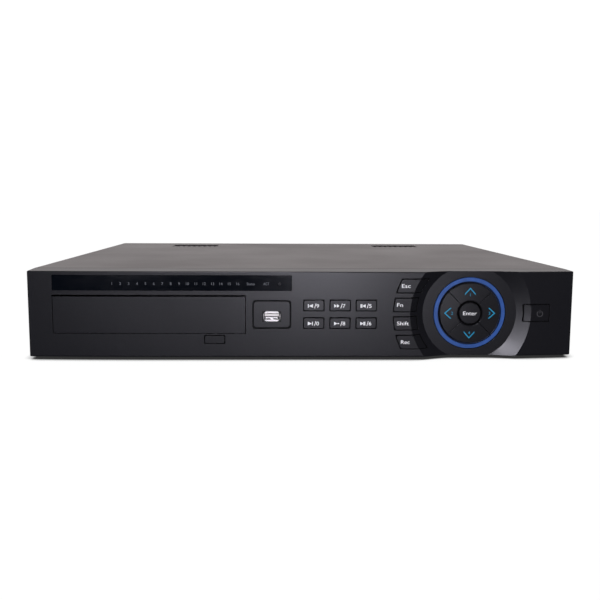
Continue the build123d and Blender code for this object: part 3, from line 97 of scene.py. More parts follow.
class Finish:
    """A material under construction: its node tree, principled shader and object coordinates."""

    def __init__(self, name, colour, roughness, metallic=0.0):
        self.material = bpy.data.materials.new(name)
        self.material.use_nodes = True
        self.tree = self.material.node_tree
        self.shader = self.tree.nodes["Principled BSDF"]
        self.set(self.shader, {
            "Base Color": (*colour, 1),
            "Roughness": roughness,
            "Metallic": metallic,
        })
        self.place = self.node("ShaderNodeTexCoord").outputs["Object"]

    def set(self, node, inputs):
        for name, value in inputs.items():
            if isinstance(value, bpy.types.NodeSocket):
                self.tree.links.new(value, node.inputs[name])
            else:
                node.inputs[name].default_value = value

    def node(self, kind, inputs=None, **settings):
        made = self.tree.nodes.new(kind)
        for name, value in settings.items():
            setattr(made, name, value)
        self.set(made, inputs or {})
        return made

    def noise(self, size, detail=2.0, rough=0.5, place=None):
        """Noise whose lumps are about size metres across."""
        inputs = {"Vector": place or self.place, "Scale": 1 / size}
        inputs.update({"Detail": detail, "Roughness": rough})
        return self.node("ShaderNodeTexNoise", inputs).outputs["Fac"]

    def cells(self, size, feature="F1", output="Distance"):
        """Cell pattern whose cells are about size metres across."""
        inputs = {"Vector": self.place, "Scale": 1 / size}
        return self.node("ShaderNodeTexVoronoi", inputs, feature=feature).outputs[output]

    def stretched(self, scale):
        """Object coordinates multiplied along each axis, for brushed and drawn surfaces."""
        return self.node("ShaderNodeMapping", {"Vector": self.place, "Scale": scale}).outputs["Vector"]

    def depth_in_case(self):
        """Y coordinate, from the front of the case to its back."""
        return self.node("ShaderNodeSeparateXYZ", {"Vector": self.place}).outputs["Y"]

    def remap(self, value, low, high, to_low=0.0, to_high=1.0):
        """Carries low to to_low and high to to_high, clamped between them."""
        inputs = {"Value": value, "From Min": low, "From Max": high}
        inputs.update({"To Min": to_low, "To Max": to_high})
        return self.node("ShaderNodeMapRange", inputs).outputs["Result"]

    def math(self, operation, first, second):
        made = self.node("ShaderNodeMath", operation=operation)
        for socket, value in zip(made.inputs, (first, second)):
            if isinstance(value, bpy.types.NodeSocket):
                self.tree.links.new(value, socket)
            else:
                socket.default_value = value
        return made.outputs["Value"]

    def mix(self, factor, first, second):
        made = self.node("ShaderNodeMix", data_type="RGBA")
        for index, value in ((0, factor), (6, first), (7, second)):
            socket = made.inputs[index]
            if isinstance(value, bpy.types.NodeSocket):
                self.tree.links.new(value, socket)
            else:
                socket.default_value = value if index == 0 else (*value, 1)
        return made.outputs[2]

    def bump(self, height, depth, strength=1.0):
        """Adds relief of the given depth in metres under what is there already."""
        inputs = {"Height": height, "Distance": depth, "Strength": strength}
        before = self.shader.inputs["Normal"].links
        if before:
            inputs["Normal"] = before[0].from_socket
        self.set(self.shader, {"Normal": self.node("ShaderNodeBump", inputs).outputs["Normal"]})

    def soften(self, radius):
        """Rounds the look of edges by radius metres, under any relief added later."""
        rounded = self.node("ShaderNodeBevel", {"Radius": radius}, samples=4).outputs["Normal"]
        self.set(self.shader, {"Normal": rounded})
        return rounded

    def hollow(self, reach):
        """Mask for painted shade: 0 deep in gaps narrower than reach metres, 1 on open surfaces."""
        unshaded = self.node("ShaderNodeAmbientOcclusion", {"Distance": reach}, samples=8).outputs["AO"]
        return self.remap(unshaded, 0.35, 0.75)

    def edge_mask(self, rounded):
        """1 along convex and concave edges, 0 on flat areas."""
        flat = self.node("ShaderNodeNewGeometry").outputs["Normal"]
        dot = self.node("ShaderNodeVectorMath", operation="DOT_PRODUCT")
        self.tree.links.new(rounded, dot.inputs[0])
        self.tree.links.new(flat, dot.inputs[1])
        return self.remap(dot.outputs["Value"], 1.0, 0.8)


def shade(colour, factor):
    """A colour made lighter or darker."""
    return tuple(min(1.0, c * factor) for c in colour)


def moulded(name, colour, roughness, grain, depth, glint_speck=1.6, wear=1.5, gap=0.0, top_rough=None):
    """Moulded plastic with a spark-eroded grain, faint light specks that are painted glints, mottling
    and worn edges.

    Gaps narrower than the shade reach in metres are painted black as shade, and upward faces get the
    roughness top_rough.
    """
    finish = Finish(name, colour, roughness)
    fine = finish.noise(grain, detail=3.0, rough=0.6)
    coarse = finish.noise(grain * 3.2, detail=2.0, rough=0.6)
    broad = finish.noise(0.04, detail=3.0)
    # Light specks on the grain are painted glints, tinted into the colour
    tint = finish.mix(finish.remap(fine, 0.56, 0.76), shade(colour, 0.92), shade(colour, glint_speck))
    tint = finish.mix(finish.remap(coarse, 0.35, 0.7, 0.0, 0.3), tint, shade(colour, 1.25))
    edges = finish.edge_mask(finish.soften(0.25 * MM))
    tint = finish.mix(finish.math("MULTIPLY", edges, 0.5), tint, shade(colour, wear))
    rough = finish.remap(broad, 0.25, 0.75, roughness - 0.012, roughness + 0.012)
    rough = finish.math("ADD", rough, finish.remap(coarse, 0.3, 0.7, -0.008, 0.008))
    if top_rough:
        normal = finish.node("ShaderNodeNewGeometry").outputs["Normal"]
        upward = finish.node("ShaderNodeSeparateXYZ", {"Vector": normal}).outputs["Z"]
        rougher = finish.remap(upward, 0.6, 0.9, 0.0, top_rough - roughness)
        rough = finish.math("ADD", rough, rougher)
    # Painted shade: narrow gaps go black and fully rough
    if gap:
        unshaded = finish.hollow(gap)
        tint = finish.mix(unshaded, SHADE_AND_SEAM_BLACK, tint)
        rough = finish.math("MAXIMUM", rough, finish.remap(unshaded, 0.0, 1.0, 1.0, 0.0))
    finish.set(finish.shader, {"Base Color": tint, "Roughness": rough})
    finish.bump(fine, depth)
    return finish


def polished(name, colour, roughness, smear=0.05):
    """Smooth glossy plastic or glass-like surface with faint handling marks."""
    finish = Finish(name, colour, roughness)
    wipe = finish.noise(0.012, detail=4.0, place=finish.stretched((1.0, 1.0, 3.0)))
    dust = finish.noise(0.6 * MM, detail=2.0)
    finish.set(finish.shader, {
        "Base Color": finish.mix(finish.remap(dust, 0.66, 0.8, 0.0, 0.35), colour, shade(colour, 2.2)),
        "Roughness": finish.remap(wipe, 0.35, 0.75, roughness, roughness + smear),
        "IOR": 1.42,
    })
    finish.bump(finish.noise(0.03, detail=1.0), 0.03 * MM)
    return finish


def plated(name, colour, roughness, spangle=0.006, brushed=None, gap=0.0):
    """Bare or plated metal with crystal spangle or a drawn grain, and small scratches."""
    finish = Finish(name, colour, roughness, metallic=1.0)
    crystals = finish.cells(spangle, output="Color")
    level = finish.node("ShaderNodeSeparateColor", {"Color": crystals}).outputs["Red"]
    finish.soften(0.1 * MM)
    fine = finish.noise(0.5 * MM, detail=3.0, place=finish.stretched(brushed or (1, 1, 1)))
    stain = finish.noise(0.03, detail=4.0)
    tint = finish.mix(finish.remap(level, 0.0, 1.0, 0.0, 0.5), shade(colour, 0.88), shade(colour, 1.12))
    tint = finish.mix(finish.remap(stain, 0.5, 0.75, 0.0, 0.35), tint, shade(colour, 0.7))
    rough = finish.remap(level, 0.0, 1.0, roughness - 0.06, roughness + 0.08)
    rough = finish.math("ADD", rough, finish.remap(fine, 0.3, 0.7, -0.05, 0.06))
    # Painted shade: narrow gaps and socket mouths go nearly black
    if gap:
        tint = finish.mix(finish.hollow(gap), shade(colour, 0.05), tint)
    finish.set(finish.shader, {"Base Color": tint, "Roughness": rough})
    finish.bump(fine, 0.01 * MM)
    return finish


def painted(name, colour, roughness, grain, depth):
    """Powder coat: orange-peel relief, fine grit and slight unevenness of sheen."""
    finish = Finish(name, colour, roughness)
    peel = finish.noise(grain * 3, detail=2.0)
    grit = finish.noise(grain, detail=2.0, rough=0.7)
    broad = finish.noise(0.09, detail=4.0)
    tint = finish.mix(finish.remap(grit, 0.58, 0.78), shade(colour, 0.9), shade(colour, 1.7))
    tint = finish.mix(finish.remap(broad, 0.3, 0.7, 0.0, 0.25), tint, shade(colour, 1.3))
    edges = finish.edge_mask(finish.soften(0.3 * MM))
    tint = finish.mix(finish.math("MULTIPLY", edges, 0.4), tint, shade(colour, 2.0))
    seam = finish.remap(finish.depth_in_case(), SEAM_Y + SEAM_W, SEAM_Y + SEAM_W * 0.7)
    rough = finish.remap(broad, 0.3, 0.7, roughness - 0.03, roughness + 0.05)
    finish.set(finish.shader, {
        "Base Color": finish.mix(seam, tint, SHADE_AND_SEAM_BLACK),
        "Roughness": finish.math("MAXIMUM", rough, seam),
    })
    finish.bump(peel, depth)
    finish.bump(grit, depth * 0.5)
    return finish


def lit(finish, colour, strength):
    """Adds a painted glow to a finish: light of its own for a part that is no lamp."""
    finish.set(finish.shader, {"Emission Color": (*colour, 1), "Emission Strength": strength})
    return finish


BEZEL_BLACK = (0.021, 0.0215, 0.025)
# Near-black for painted shade in gaps and sockets, and for the seam between bezel and cover
SHADE_AND_SEAM_BLACK = (0.001, 0.001, 0.001)
COVER_BLACK = (0.036, 0.0278, 0.0285)
SOCKET_NICKEL = (0.86, 0.84, 0.82)
# Gaps narrower than this get painted shade on the bezel and keys
SHADE_REACH = 2.5 * MM
# Joint between bezel and cover, drawn as a dark band on the cover's front edge
SEAM_Y = cad_low.y + 28.6 * MM
SEAM_W = 2.4 * MM


def ring_finish():
    """Translucent blue light guide that glows, with random paler and darker clouds and painted shade in
    its narrow grooves.
    """
    blue = (0.031, 0.092, 0.32)
    finish = Finish("ring_blue", blue, 0.32)
    cloud = finish.noise(0.007, detail=3.0)
    fine = finish.noise(0.35 * MM, detail=2.0)
    tint = finish.mix(finish.remap(cloud, 0.35, 0.7), shade(blue, 0.9), shade(blue, 1.2))
    # Painted shade: dark blue in the narrow grooves at its lip and rim
    tint = finish.mix(finish.hollow(3.0 * MM), shade(blue, 0.06), tint)
    finish.soften(0.15 * MM)
    finish.set(finish.shader, {
        "Base Color": tint,
        "Emission Color": tint,
        "Emission Strength": 0.42,
        "Roughness": finish.remap(fine, 0.3, 0.7, 0.26, 0.4),
    })
    finish.bump(fine, 0.01 * MM)
    return finish


def board_finish():
    """Green circuit board with copper tracks under its lacquer."""
    green = (0.012, 0.085, 0.035)
    finish = Finish("board_green", green, 0.35)
    tracks = finish.cells(2.2 * MM, feature="DISTANCE_TO_EDGE")
    pads = finish.cells(1.3 * MM)
    tint = finish.mix(finish.remap(tracks, 0.05, 0.09), (0.035, 0.16, 0.06), green)
    tint = finish.mix(finish.remap(pads, 0.16, 0.12), tint, (0.45, 0.42, 0.36))
    finish.set(finish.shader, {
        "Base Color": tint,
        "Roughness": finish.remap(pads, 0.2, 0.1, 0.4, 0.22),
    })
    finish.bump(finish.remap(tracks, 0.05, 0.09), 0.03 * MM, 0.5)
    return finish


def insert_finish():
    """White nylon; the front socket's tongue has a painted glow at its tip and painted shade, black,
    further in.
    """
    white = (0.86, 0.82, 0.8)
    finish = moulded("insert_white", white, 0.4, 0.3 * MM, 0.01 * MM, glint_speck=1.05, wear=1.1)
    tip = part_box("front_usb_tongue")[0].y
    depth = finish.depth_in_case()
    far = finish.remap(depth, 0.0, 1.0 * MM)
    glowing_tip = finish.remap(depth, tip + 1.5 * MM, tip + 0.8 * MM)
    tint = finish.shader.inputs["Base Color"].links[0].from_socket
    # Painted shade: black from just behind the tongue's tip back to y = 0; the tip and inserts further
    # back keep their white
    clear_of_painted_shade = finish.math("MAXIMUM", far, glowing_tip)
    finish.set(finish.shader, {"Base Color": finish.mix(clear_of_painted_shade, SHADE_AND_SEAM_BLACK, tint)})
    # Painted glow at the tongue's tip, which gives off no light of its own
    return lit(finish, white, finish.math("MULTIPLY", glowing_tip, 0.35))


finishes = {
    "bezel_plastic": moulded("bezel_grain", BEZEL_BLACK, 0.31, 0.42 * MM, 0.006 * MM, glint_speck=1.2,
                             gap=SHADE_REACH, top_rough=0.5),
    "key_plastic": moulded("key_grain", shade(BEZEL_BLACK, 0.9), 0.3, 0.36 * MM, 0.005 * MM, glint_speck=1.2,
                           wear=2.5, gap=SHADE_REACH),
    "smoked_window": polished("window_smoked", (0.0022, 0.0042, 0.0085), 0.1),
    "ring_light": ring_finish(),
    "lamp_lens": polished("lamp_clear", (0.6, 0.62, 0.55), 0.2),
    "cover_paint": painted("cover_powder", COVER_BLACK, 0.5, 0.5 * MM, 0.04 * MM),
    "zinc_steel": plated("steel_zinc", (0.55, 0.56, 0.57), 0.42),
    "screw_steel": plated("screw_black_zinc", (0.16, 0.16, 0.17), 0.38, spangle=0.9 * MM),
    "foot_rubber": moulded("foot_rubber_dull", (0.018, 0.018, 0.018), 0.78, 0.5 * MM, 0.05 * MM,
                           glint_speck=2.2),
    "circuit_board": board_finish(),
    "black_parts": moulded("parts_black", (0.02, 0.02, 0.021), 0.45, 0.25 * MM, 0.01 * MM),
    "socket_steel": plated("socket_nickel", SOCKET_NICKEL, 0.34, spangle=0.5 * MM,
                           brushed=(1, 6, 1), gap=3.0 * MM),
    "white_insert": insert_finish(),
    "port_plastic": moulded("port_black", (0.018, 0.018, 0.02), 0.4, 0.3 * MM, 0.015 * MM),
    "ribbon_grey": moulded("ribbon_vinyl", (0.35, 0.35, 0.36), 0.45, 0.4 * MM, 0.02 * MM, glint_speck=1.1),
    "cable_red": moulded("cable_vinyl", (0.35, 0.02, 0.02), 0.4, 0.3 * MM, 0.01 * MM, glint_speck=1.2),
    "disk_casting": plated("casting_grey", (0.42, 0.43, 0.44), 0.5, spangle=1.2 * MM),
    "sink_metal": plated("sink_anodised", (0.5, 0.5, 0.51), 0.4, spangle=0.8 * MM, brushed=(1, 8, 1)),
    "tray_plastic": moulded("tray_grey", (0.05, 0.05, 0.052), 0.5, 0.4 * MM, 0.02 * MM),
    "terminal_green": moulded("terminal_nylon", (0.03, 0.24, 0.09), 0.45, 0.3 * MM, 0.015 * MM,
                              glint_speck=1.2),
    "supply_parts": moulded("supply_lacquer", (0.16, 0.12, 0.05), 0.4, 0.4 * MM, 0.015 * MM),
    "pin_brass": plated("pin_nickel", (0.74, 0.68, 0.55), 0.25, spangle=1.0 * MM),
    "fan_plastic": moulded("fan_black", (0.022, 0.022, 0.024), 0.4, 0.3 * MM, 0.012 * MM),
}

for name, node in frame["nodes"].items():
    for place in node.material_slots:
        place.material = finishes[place.material.name].material

# ---------------------------------------------------------------- studio

FLOOR_SIZE = 12.0
# How far from the floor the object still darkens it, as a painted contact shadow
CONTACT_REACH = 0.012
LAMP_TINT = (1.0, 0.98, 1.1)
WARM_WHITE = (1.04, 0.985, 0.985)
LAMP_SIZE = (0.15, 0.12)
LIGHT_Y = -1.6


def make_floor():
    """Pale floor that runs out to white, with a soft contact shadow painted into its glow by ambient
    occlusion.
    """
    mesh = bpy.data.meshes.new("floor")
    form = bmesh.new()
    bmesh.ops.create_grid(form, x_segments=1, y_segments=1, size=FLOOR_SIZE)
    form.to_mesh(mesh)
    form.free()
    floor = bpy.data.objects.new("floor", mesh)
    scene.collection.objects.link(floor)
    finish = Finish("floor_paper", (0.03, 0.03, 0.031), 0.9)
    seen = finish.node("ShaderNodeLightPath").outputs["Is Camera Ray"]
    shadow = finish.node("ShaderNodeAmbientOcclusion", {"Distance": CONTACT_REACH}, samples=16)
    open_air = shadow.outputs["AO"]
    paper = finish.remap(finish.noise(0.004, detail=4.0), 0.3, 0.7, 0.985, 1.0)
    # Painted contact shadow: the glow dims where the object is close
    glow = finish.math("MULTIPLY", finish.remap(open_air, 0.25, 0.8, 0.03, 1.0), paper)
    finish.set(finish.shader, {
        "Emission Color": (1, 1, 1, 1),
        "Emission Strength": finish.math("MULTIPLY", seen, glow),
        "Specular IOR Level": 0.0,
    })
    floor.data.materials.append(finish.material)


def make_world():
    """White surroundings for the camera, behind the object and above, and darker in front."""
    world = bpy.data.worlds.new("studio")
    scene.world = world
    world.use_nodes = True
    tree = world.node_tree
    background = tree.nodes["Background"]
    direction = tree.nodes.new("ShaderNodeTexCoord").outputs["Generated"]
    parts = tree.nodes.new("ShaderNodeSeparateXYZ")
    tree.links.new(direction, parts.inputs[0])
    ramp = tree.nodes.new("ShaderNodeMapRange")
    tree.links.new(parts.outputs["Y"], ramp.inputs["Value"])
    for name, value in (("From Min", -0.04), ("From Max", 0.04), ("To Min", 0.01), ("To Max", 1.1)):
        ramp.inputs[name].default_value = value
    path = tree.nodes.new("ShaderNodeLightPath")
    seen = tree.nodes.new("ShaderNodeMath")
    seen.operation = "MAXIMUM"
    tree.links.new(path.outputs["Is Camera Ray"], seen.inputs[0])
    tree.links.new(ramp.outputs["Result"], seen.inputs[1])
    tree.links.new(seen.outputs[0], background.inputs["Strength"])
    colour = tree.nodes.new("ShaderNodeMix")
    colour.data_type = "RGBA"
    tree.links.new(path.outputs["Is Camera Ray"], colour.inputs[0])
    colour.inputs[6].default_value = (*WARM_WHITE, 1)
    colour.inputs[7].default_value = (1, 1, 1, 1)
    tree.links.new(colour.outputs[2], background.inputs["Color"])


def softbox(name, place, power, size=LAMP_SIZE):
    """Rectangular area light at place, facing the middle of the object."""
    data = bpy.data.lights.new(name, "AREA")
    data.shape = "RECTANGLE"
    data.size, data.size_y = size
    data.energy = power
    data.color = LAMP_TINT
    light = bpy.data.objects.new(name, data)
    scene.collection.objects.link(light)
    light.location = place
    aim = (cad_low + cad_high) / 2 - Vector(place)
    light.rotation_euler = aim.to_track_quat("-Z", "Y").to_euler()


make_floor()
make_world()
softbox("front_box", (-0.1, LIGHT_Y, 0.42), 5.7)
softbox("low_box", (0.1, LIGHT_Y, 0.03), 2.9)
softbox("left_box", (-0.45, LIGHT_Y, 0.05), 0.5, size=(0.3, 0.12))

# ---------------------------------------------------------------- printed legends

PRINT_RELIEF = 0.03 * MM
bodies = frame["record"]["behaviour"]["bodies"]
body_of = {node: body for body, nodes in bodies.items() for node in nodes}


def surface(node, x, z, side=-1):
    """Frame on a node's front (side -1) or rear (side 1) surface: right, up and outward."""
    start = Vector((x, side * 2 * cad_high.y, z))
    hit, place, normal, _ = frame["nodes"][node].ray_cast(start, Vector((0, -side, 0)))
    if not hit:
        raise ValueError(f"no surface on {node} at {x}, {z}")
    right = Vector((0, 0, 1)).cross(normal)
    right.normalize()
    up = normal.cross(right)
    return Matrix.Translation(place) @ Matrix((right, up, normal)).transposed().to_4x4()


def link_piece(name, mesh, finish, body, place):
    """Links a piece made of mesh, gives it a finish and lets it ride on a body."""
    made = bpy.data.objects.new(name, mesh)
    scene.collection.objects.link(made)
    made.data.materials.clear()
    made.data.materials.append(finish.material)
    made.matrix_world = place
    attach(made, body)
    return made


class Print:
    """Flat printed shapes and letters in millimetres about a point, made into one thin solid."""

    def __init__(self):
        self.form = bmesh.new()

    def outline(self, *points):
        """Adds a filled outline whose corners run anticlockwise.

        Its faces are made one by one, because an extrude orders them differently each run.
        """
        back, front = [[self.form.verts.new((x, y, z)) for x, y in points] for z in (-1, 1)]
        self.form.faces.new(back[::-1])
        self.form.faces.new(front)
        for i in range(len(points)):
            self.form.faces.new((back[i - 1], back[i], front[i], front[i - 1]))
        return self

    def bar(self, low, high):
        """Adds a rectangle between two corners."""
        return self.outline(low, (high[0], low[1]), high, (low[0], high[1]))

    def stroke(self, start, end, width):
        """Adds a straight line of the given width."""
        along = (Vector(end) - Vector(start)).normalized() * width / 2
        side = Vector((-along.y, along.x))
        corners = (Vector(start) - side, Vector(end) - side, Vector(end) + side, Vector(start) + side)
        return self.outline(*[tuple(corner) for corner in corners])

    def arc(self, radius, width, start, sweep, steps=40):
        """Adds a circular line about the middle, as a run of short joined quads."""
        for step in range(steps):
            angles = [start + sweep * (step + share) / steps for share in (0, 1)]
            inner, outer = radius - width / 2, radius + width / 2
            first, last = angles
            corners = ((inner, first), (outer, first), (outer, last), (inner, last))
            self.outline(*[(r * math.cos(a), r * math.sin(a)) for r, a in corners])
        return self

    def text(self, words, height, centre=(0, 0), wide=None, weight=0.0):
        """Adds words of the given height, and width if it is given, in Blender's own typeface."""
        curve = bpy.data.curves.new("letters", "FONT")
        curve.body = words
        curve.offset = weight
        curve.extrude = 1.0
        scratch = bpy.data.objects.new("letters", curve)
        scene.collection.objects.link(scratch)
        bpy.context.view_layer.update()
        mesh = bpy.data.meshes.new_from_object(scratch)
        bpy.data.objects.remove(scratch)
        bpy.data.curves.remove(curve)
        points = [vertex.co for vertex in mesh.vertices]
        low = [min(point[i] for point in points) for i in (0, 1)]
        high = [max(point[i] for point in points) for i in (0, 1)]
        tall = height / (high[1] - low[1])
        broad = wide / (high[0] - low[0]) if wide else tall
        for point in points:
            point.x = centre[0] + (point.x - (low[0] + high[0]) / 2) * broad
            point.y = centre[1] + (point.y - (low[1] + high[1]) / 2) * tall
        self.form.from_mesh(mesh)
        bpy.data.meshes.remove(mesh)
        return self

    def place(self, name, node, x, z, finish, side=-1, relief=PRINT_RELIEF):
        """Lays the print on a node's surface, where it rides on that node's body."""
        for vertex in self.form.verts:
            vertex.co = Vector((vertex.co.x * MM, vertex.co.y * MM, vertex.co.z * relief))
        bmesh.ops.recalc_face_normals(self.form, faces=self.form.faces)
        mesh = bpy.data.meshes.new(name)
        self.form.to_mesh(mesh)
        self.form.free()
        return link_piece(name, mesh, finish, body_of[node], surface(node, x, z, side))


def ink(name, colour, glow):
    """Screen-printed ink, slightly uneven. The glow is painted light, which keeps it light under the
    small lamps.
    """
    finish = Finish(name, colour, 0.5)
    blot = finish.noise(0.3 * MM, detail=3.0)
    tint = finish.mix(finish.remap(blot, 0.35, 0.65), shade(colour, 0.85), colour)
    finish.set(finish.shader, {
        "Base Color": tint,
        "Emission Color": tint,
        "Emission Strength": glow,
        "Roughness": finish.remap(blot, 0.3, 0.7, 0.42, 0.6),
    })
    finish.bump(blot, 0.01 * MM)
    return finish


# The glows below are painted light: printed ink gives off none
white_ink = ink("ink_white", (0.9, 0.9, 0.92), 0.65)
plain_ink = ink("ink_plain", (0.72, 0.72, 0.72), 0.0)
dim_ink = ink("ink_dim", (0.15, 0.16, 0.18), 0.5)
faint_ink = ink("ink_faint", (0.12, 0.12, 0.125), 0.15)
cyan_ink = ink("ink_cyan", (0.012, 0.26, 0.46), 0.6)
cyan_dim_ink = ink("ink_cyan_dim", (0.012, 0.16, 0.28), 0.9)


def centre_of(node):
    low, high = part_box(node)
    return (low + high) / 2


# Words on the function keys: distance from the key's left end and width, in millimetres
LETTER_H = 3.0
for key, word, from_left, wide in (
    ("key_escape", "Esc", 8.3, 7.0),
    ("key_function", "Fn", 6.0, 4.8),
    ("key_shift", "Shift", 8.6, 9.4),
    ("key_record", "Rec", 8.6, 7.0),
):
    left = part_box(key)[0].x
    Print().text(word, LETTER_H, wide=wide).place(
        f"legend_{key}", key, left + from_left * MM, centre_of(key).z, white_ink)

dial = centre_of("key_enter")
ENTER_W = 11.1
Print().text("Enter", LETTER_H, wide=ENTER_W).place(
    "legend_enter", "key_enter", dial.x, dial.z, white_ink)

# Transport legends, in millimetres: bars and triangles set side by side, a slash, then a digit
SYMBOL_H = 2.9
SYMBOL_W = 4.0
SYMBOL_LEFT = -4.4
BAR_W = 0.62
DASH_W = 1.4
DASH_HALF_H = 0.35
SPACE = 0.22
SLASH = ((0.85, -1.9), (2.0, 1.9))
SLASH_W = 0.42
DIGIT_CENTRE = (3.4, 0)
DIGIT_W = 2.1
LEGEND_SHIFT = 0.3 * MM


def transport_legend(parts, digit):
    """Symbols from left to right: | bar, < and > triangles, - short dash."""
    legend = Print()
    fixed = BAR_W * parts.count("|") + DASH_W * parts.count("-") + SPACE * (len(parts) - 1)
    triangle = (SYMBOL_W - fixed) / (parts.count("<") + parts.count(">"))
    x = SYMBOL_LEFT
    half = SYMBOL_H / 2
    for part in parts:
        wide = {"|": BAR_W, "-": DASH_W}.get(part, triangle)
        if part == "|":
            legend.bar((x, -half), (x + wide, half))
        elif part == "-":
            legend.bar((x, -DASH_HALF_H), (x + wide, DASH_HALF_H))
        elif part == "<":
            legend.outline((x, 0), (x + wide, -half), (x + wide, half))
        else:
            legend.outline((x, -half), (x + wide, 0), (x, half))
        x += wide + SPACE
    legend.stroke(*SLASH, SLASH_W)
    return legend.text(str(digit), SYMBOL_H, centre=DIGIT_CENTRE, wide=DIGIT_W)


for key, parts, digit in (
    ("key_previous", "|<", 9),
    ("key_fast_forward", ">>", 7),
    ("key_frame_back", "||<", 5),
    ("key_next", ">|", 0),
    ("key_slow_play", ">-", 8),
    ("key_play_pause", ">||", 6),
):
    middle = centre_of(key)
    transport_legend(parts, digit).place(
        f"legend_{key}", key, middle.x - LEGEND_SHIFT, middle.z - LEGEND_SHIFT, white_ink)

# Arrowheads and digits on the direction pad, at distances from the dial's middle in millimetres
ARROW_TIP = 20.8
ARROW_TAIL = 16.0
ARROW_HALF = 4.3
ARROW_STROKE = 0.82
PAD_DIGIT_H = 2.4
BOLD = 0.01
ARROW_LONG = ARROW_TIP - ARROW_TAIL
ARROW_THICK = ARROW_STROKE * math.hypot(ARROW_LONG, ARROW_HALF) / ARROW_HALF
for key, angle, digit, digit_radius in (
    ("key_up", 90, 1, 15.0),
    ("key_left", 180, 2, 14.3),
    ("key_right", 0, 3, 16.0),
    ("key_down", 270, 4, 16.0),
):
    out = Vector((math.cos(math.radians(angle)), math.sin(math.radians(angle))))
    across = Vector((-out.y, out.x))
    outward = Vector((out.x, 0, out.y))
    arrow = Print()
    for side in (1, -1):
        corners = ((ARROW_LONG, 0), (0, side * ARROW_HALF), (-ARROW_THICK, side * ARROW_HALF),
                   (ARROW_LONG - ARROW_THICK, 0))
        arrow.outline(*[tuple(out * along + across * aside) for along, aside in corners[::side]])
    root = dial + outward * ARROW_TAIL * MM
    arrow.place(f"arrow_{key}", key, root.x, root.z, cyan_ink)
    spot = dial + outward * digit_radius * MM
    Print().text(str(digit), PAD_DIGIT_H, weight=BOLD).place(
        f"digit_{key}", key, spot.x, spot.z, cyan_dim_ink)

# Lamp numbers and status words on the window
LAMP_COUNT = 16
LAMP_PITCH = 6.6 * MM
FIRST_LAMP = 1.5 * MM
LAMP_LETTER_H = 2.1
lamps_low, lamps_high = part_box("status_lamps")
first_lamp = lamps_low.x + FIRST_LAMP
lamp_z = (lamps_low.z + lamps_high.z) / 2
for number in range(1, LAMP_COUNT + 1):
    Print().text(str(number), LAMP_LETTER_H).place(
        f"lamp_number_{number}", "indicator_window", first_lamp + (number - 1) * LAMP_PITCH, lamp_z,
        dim_ink)
for name, word, x, wide in (("status", "Status", -41.7, 6.2), ("link", "ACT", -29.4, 4.7)):
    Print().text(word, LAMP_LETTER_H, wide=wide).place(
        f"lamp_word_{name}", "indicator_window", x * MM, lamp_z, dim_ink)


def power_mark(radius, width, start, bar_half, bar_low, bar_high):
    """Ring open at its top, from start degrees round to the same height, with a bar in the gap."""
    ring = Print().arc(radius, width, math.radians(start), math.radians(2 * (270 - start)))
    return ring.bar((-bar_half, bar_low), (bar_half, bar_high))


WINDOW_MARK_X = -18.8 * MM
POWER_MARK_X = 191.3 * MM
POWER_MARK_DOWN = 0.6 * MM
power_mark(0.9, 0.25, 130, 0.13, 0.1, 1.4).place(
    "lamp_mark_power", "indicator_window", WINDOW_MARK_X, lamp_z, faint_ink)
power_mark(2.3, 0.5, 125, 0.25, 0.4, 3.0).place(
    "mark_power", "power_button", POWER_MARK_X, centre_of("power_button").z - POWER_MARK_DOWN,
    faint_ink)

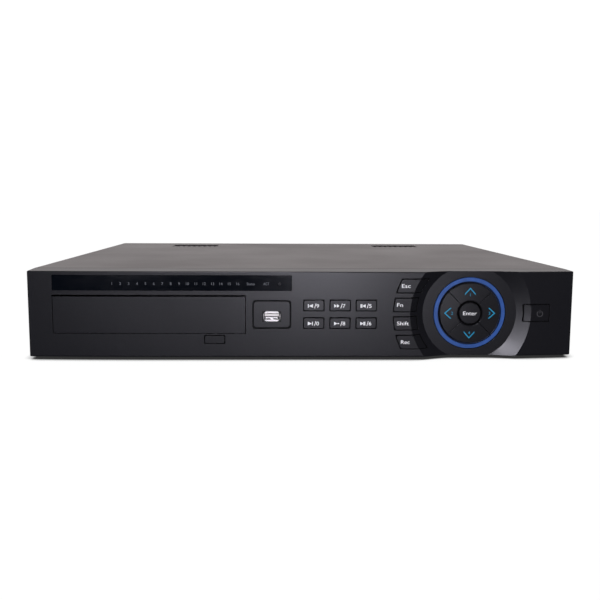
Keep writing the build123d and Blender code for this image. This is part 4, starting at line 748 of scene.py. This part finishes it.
# Front socket, in millimetres from its middle: a black band with cut corners on the shell's lip,
# painted shade for the dark edge and corners of the socket's mouth. The light and dark rows of the
# spring tabs are an upright plate in the mouth, which a real plug would meet.
ON_LIP = 3.4
SHADE_BAND_W = 0.8
SHADE_CORNER_CUT = 2.0
TONGUE_UP = 0.9
TAB_HALF_W = 4.7
TAB_TOP = -0.8
TAB_STEP = -1.7
TAB_FOOT = -2.6
TAB_POSTS = ((-TAB_HALF_W, -4.4), (-1.2, 1.2), (4.4, TAB_HALF_W))
TAB_RELIEF = 0.1 * MM
socket_low, socket_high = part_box("front_usb_shell")
socket = (socket_low + socket_high) / 2
lip_half_w = (socket_high.x - socket_low.x) / 2 / MM
lip_half_h = (socket_high.z - socket_low.z) / 2 / MM
socket_shade = Print()
for side in (-1, 1):
    edge = side * (lip_half_w - SHADE_BAND_W)
    socket_shade.bar((edge, -lip_half_h - ON_LIP), (side * lip_half_w, lip_half_h - ON_LIP))
    for up in (-1, 1):
        corner = up * lip_half_h - ON_LIP
        socket_shade.outline((edge, corner), (edge - side * SHADE_CORNER_CUT, corner),
                       (edge, corner - up * SHADE_CORNER_CUT))
socket_shade.place("usb_socket_shade", "front_usb_shell", socket.x, socket.z + ON_LIP * MM,
             ink("socket_shade_black", SHADE_AND_SEAM_BLACK, 0.0))

tabs = Print()
tabs.bar((-TAB_HALF_W, TAB_STEP - TONGUE_UP), (TAB_HALF_W, TAB_TOP - TONGUE_UP))
for low, high in TAB_POSTS:
    tabs.bar((low, TAB_FOOT - TONGUE_UP), (high, TAB_STEP - TONGUE_UP))
tabs.place("usb_spring_tabs", "front_usb_tongue", socket.x, socket.z + TONGUE_UP * MM,
           plated("tab_nickel", SOCKET_NICKEL, 0.34, spangle=0.5 * MM), relief=TAB_RELIEF)

# Rear: on and off marks on the rocker, and jack numbers
MARK_UP = 3.9 * MM
rocker = centre_of("power_rocker")
Print().bar((-0.3, -1.6), (0.3, 1.6)).place(
    "mark_rocker_on", "power_rocker", rocker.x, rocker.z + MARK_UP, plain_ink, side=1)
Print().arc(1.5, 0.5, 0, math.tau).place(
    "mark_rocker_off", "power_rocker", rocker.x, rocker.z - MARK_UP, plain_ink, side=1)

JACK_COLUMNS = 8
JACK_PITCH = 15.8 * MM
JACK_ROWS = (0.048, 0.024)
FIRST_JACK = 7.2 * MM
NUMBER_ASIDE = 6.6 * MM
NUMBER_UP = 7.0 * MM
jacks_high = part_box("video_jacks")[1]
for row, z in enumerate(JACK_ROWS):
    for column in range(JACK_COLUMNS):
        x = jacks_high.x - FIRST_JACK - column * JACK_PITCH
        number = row * JACK_COLUMNS + column + 1
        Print().text(str(number), PAD_DIGIT_H, weight=BOLD).place(
            f"jack_number_{number}", "rear_panel", x - NUMBER_ASIDE, z + NUMBER_UP, plain_ink, side=1)
